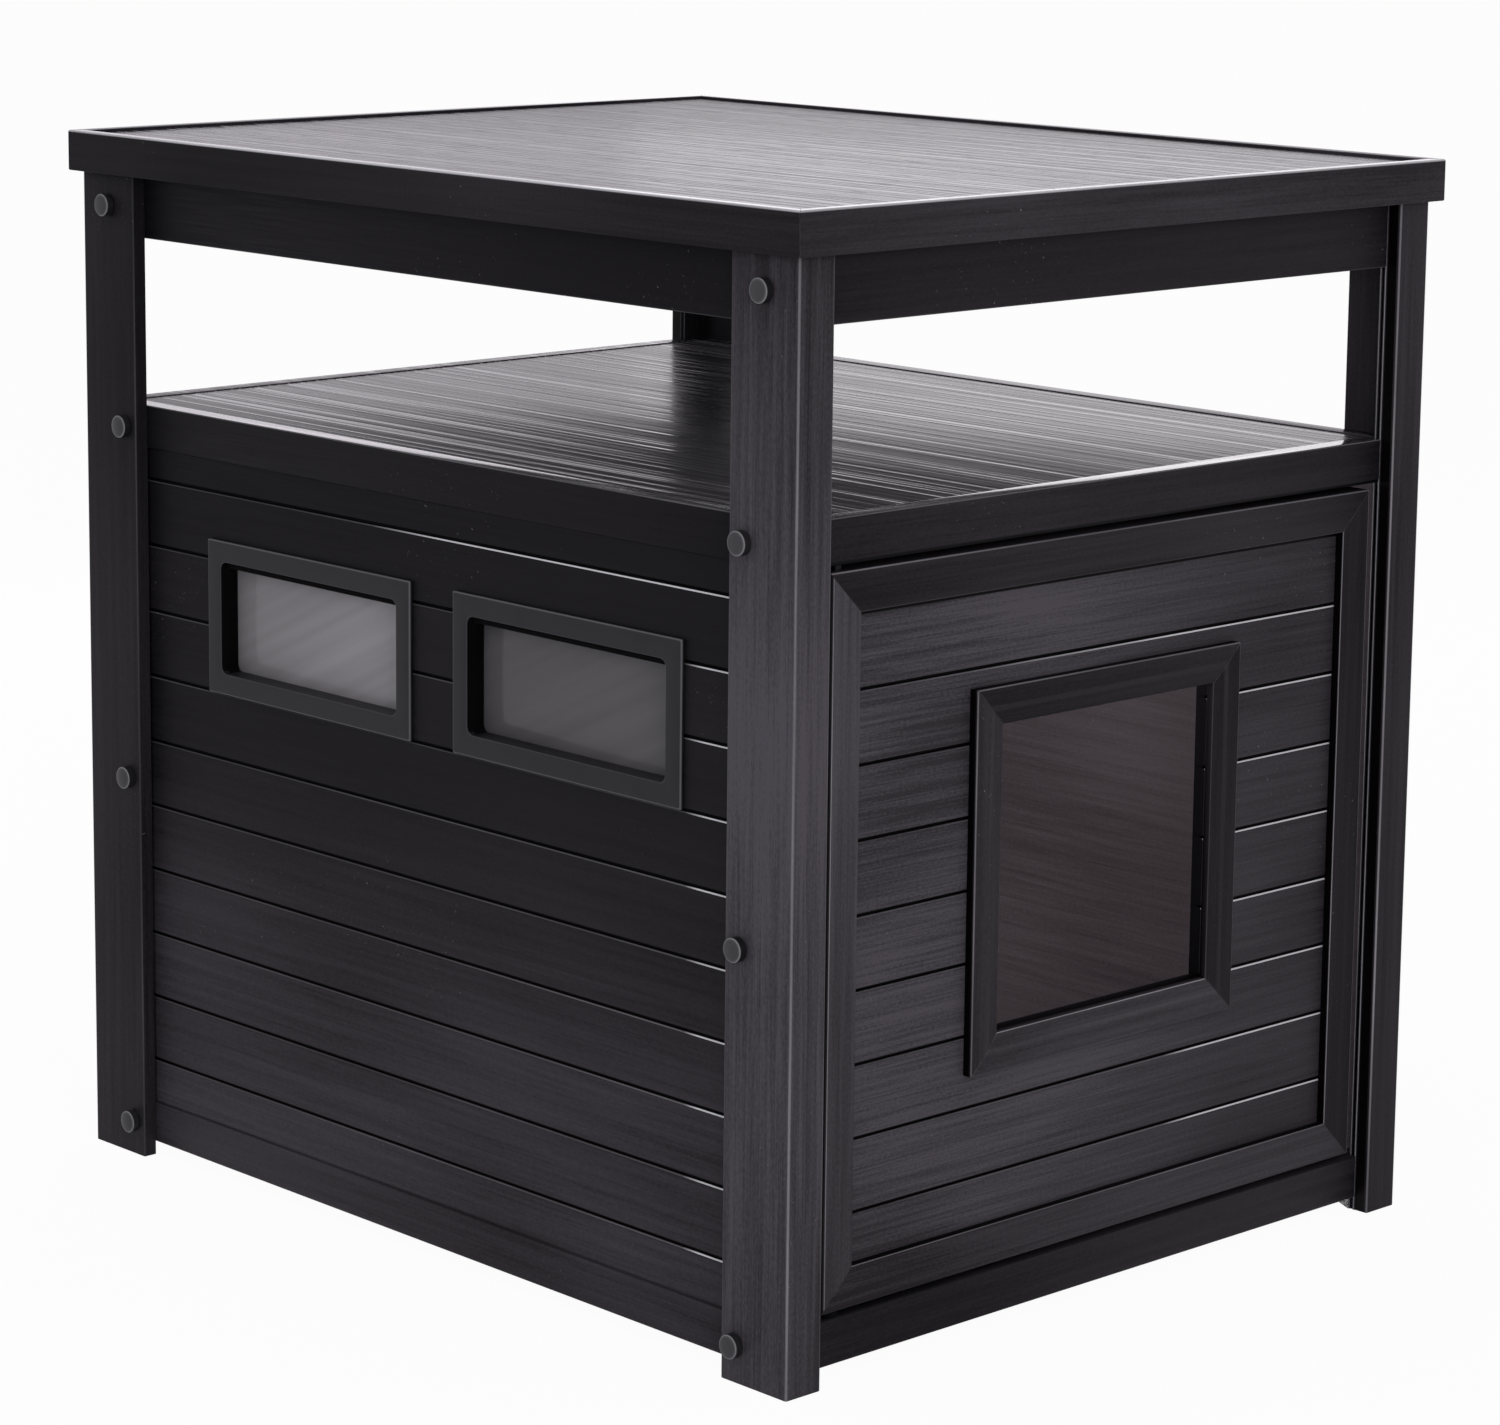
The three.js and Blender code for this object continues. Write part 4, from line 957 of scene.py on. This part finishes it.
wide = entryTrim["wide"]
for side, member in ringMembers(x1 + wide, z0 - wide, z1 + wide).items():
    part = ringPart(member, *trimSection(side), -doorPanel["face"], entryTrim["endWearAndHighlight"])
    makePiece(f"entryTrim.{side}", [part], [boards[memberGrain[side]]], "door",
              [f"entry_trim_{side}"], paintedShade=entryTrim["paintedShades"][side])
print("door")

# Carriage bolts under snap-on caps of moulded plastic: upright drums with a crowned face. The rim
# and the face are painted pale, as wear and highlights.
bolt = {
    "face": 261, "reach": 16, "shank": 3, "cap": 7, "rimHeight": 5.6, "capHeight": 6.5, "gap": 0.3,
    "edge": 0.8, "chamfer": 0.4, "foot": 0.5, "edgeWearsAndHighlight": (0, 0.3, 0.8, 0.6, 0.25), "faceWearAndHighlight": 0.12,
    "places": {"apron": (295.5, 605.5), "shelf": (280.5, 469), "middle": (280.5, 246),
               "base": (280.5, 21.75)},
    "steps": 28}


# The cap's profile: an upright side, a quarter round edge, and a face h = rim + rise (1 - (r/R)^2).
def boltProfile(look=bolt):
    reach, shank, cap, gap, edge, chamfer, foot = [
        look[key] for key in ("reach", "shank", "cap", "gap", "edge", "chamfer", "foot")]
    stem = [(0, -reach), (shank - chamfer, -reach), (shank, chamfer - reach),
            (shank, gap), (cap - foot, gap), (cap, gap + foot)]
    a = np.linspace(0, math.pi / 2, len(look["edgeWearsAndHighlight"]))
    turn = np.stack([cap - edge + edge * np.cos(a), look["rimHeight"] - edge * (1 - np.sin(a))], 1)
    r = np.linspace(cap - edge, 0, 7)[1:]
    rise = look["capHeight"] - look["rimHeight"]
    crown = np.stack([r, look["rimHeight"] + rise * (1 - (r / (cap - edge)) ** 2)], 1)
    wearAndShading = np.concatenate([np.zeros(len(stem)), look["edgeWearsAndHighlight"], np.full(len(r), look["faceWearAndHighlight"])])
    return np.concatenate([stem, turn, crown]), wearAndShading


boltShape = boltProfile()
for endName in ("front", "rear"):
    for sideName in ("left", "right"):
        out = sides[sideName]
        for level, (y, z) in bolt["places"].items():
            at = (out * bolt["face"], sides[endName] * y, z)
            cap = turned(*boltShape, [(0, 1, 0), (0, 0, 1), (out, 0, 0)], at, bolt["steps"])
            name = f"{level}_{endName}_{sideName}"
            makePiece(f"boltCap.{name}", [cap], [blackPlastic], stands=[f"bolt_{name}"])

# The catch: a plastic housing, and a strike plate on the door with two screws. Boxes are
# (low y, high y, low z, high z).
catch = {
    "x": (151, 191), "housing": (-291.9, -279.9, 433.7, 455.4), "softness": 0.8, "wearAndShading": 0.4, "endWearAndHighlight": 0.3,
    "strike": (-293.7, -292.2, 434.1, 452.1), "strikeSoftness": 0.3, "screws": (160, 182), "screwSunk": 0.1,
    "screwHead": [(0, 0), (2.6, 0), (2.6, 0.15), (1.6, 0.25), (0, 0.3)], "screwSteps": 20}


# A box along the catch, with all its arrises softened.
def catchBar(y0, y1, z0, z1, soft, wearAndShading, endWearAndHighlight):
    section = softSection([(y0, z0), (y1, z0), (y1, z1), (y0, z1)], soft, wearAndShading)
    return bar(*section, [(0, 1, 0), (0, 0, 1), (1, 0, 0)], (0, 0, 0), catch["x"], soft=soft, endWearAndHighlight=endWearAndHighlight)


housing = catchBar(*catch["housing"], catch["softness"], catch["wearAndShading"], catch["endWearAndHighlight"])
makePiece("catchHousing", [housing], [blackPlastic], stands=["catch_magnet"])

plate = catchBar(*catch["strike"], catch["strikeSoftness"], 0, 0)
y0, y1, z0, z1 = catch["strike"]
heads = [turned(catch["screwHead"], [0] * len(catch["screwHead"]), [(1, 0, 0), (0, 0, 1), (0, 1, 0)],
                (x, y1 - catch["screwSunk"], (z0 + z1) / 2), catch["screwSteps"]) for x in catch["screws"]]
makePiece("strikePlate", [plate] + heads, [steel], "door", ["strike_plate"])

pivots = {"pivot_pin_upper": blackSteel, "pivot_pin_lower": blackSteel, "pivot_washer": rubber}
for name, finish in pivots.items():
    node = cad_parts[name]
    node.data.materials.clear()
    node.data.materials.append(finish)
print("fasteners")
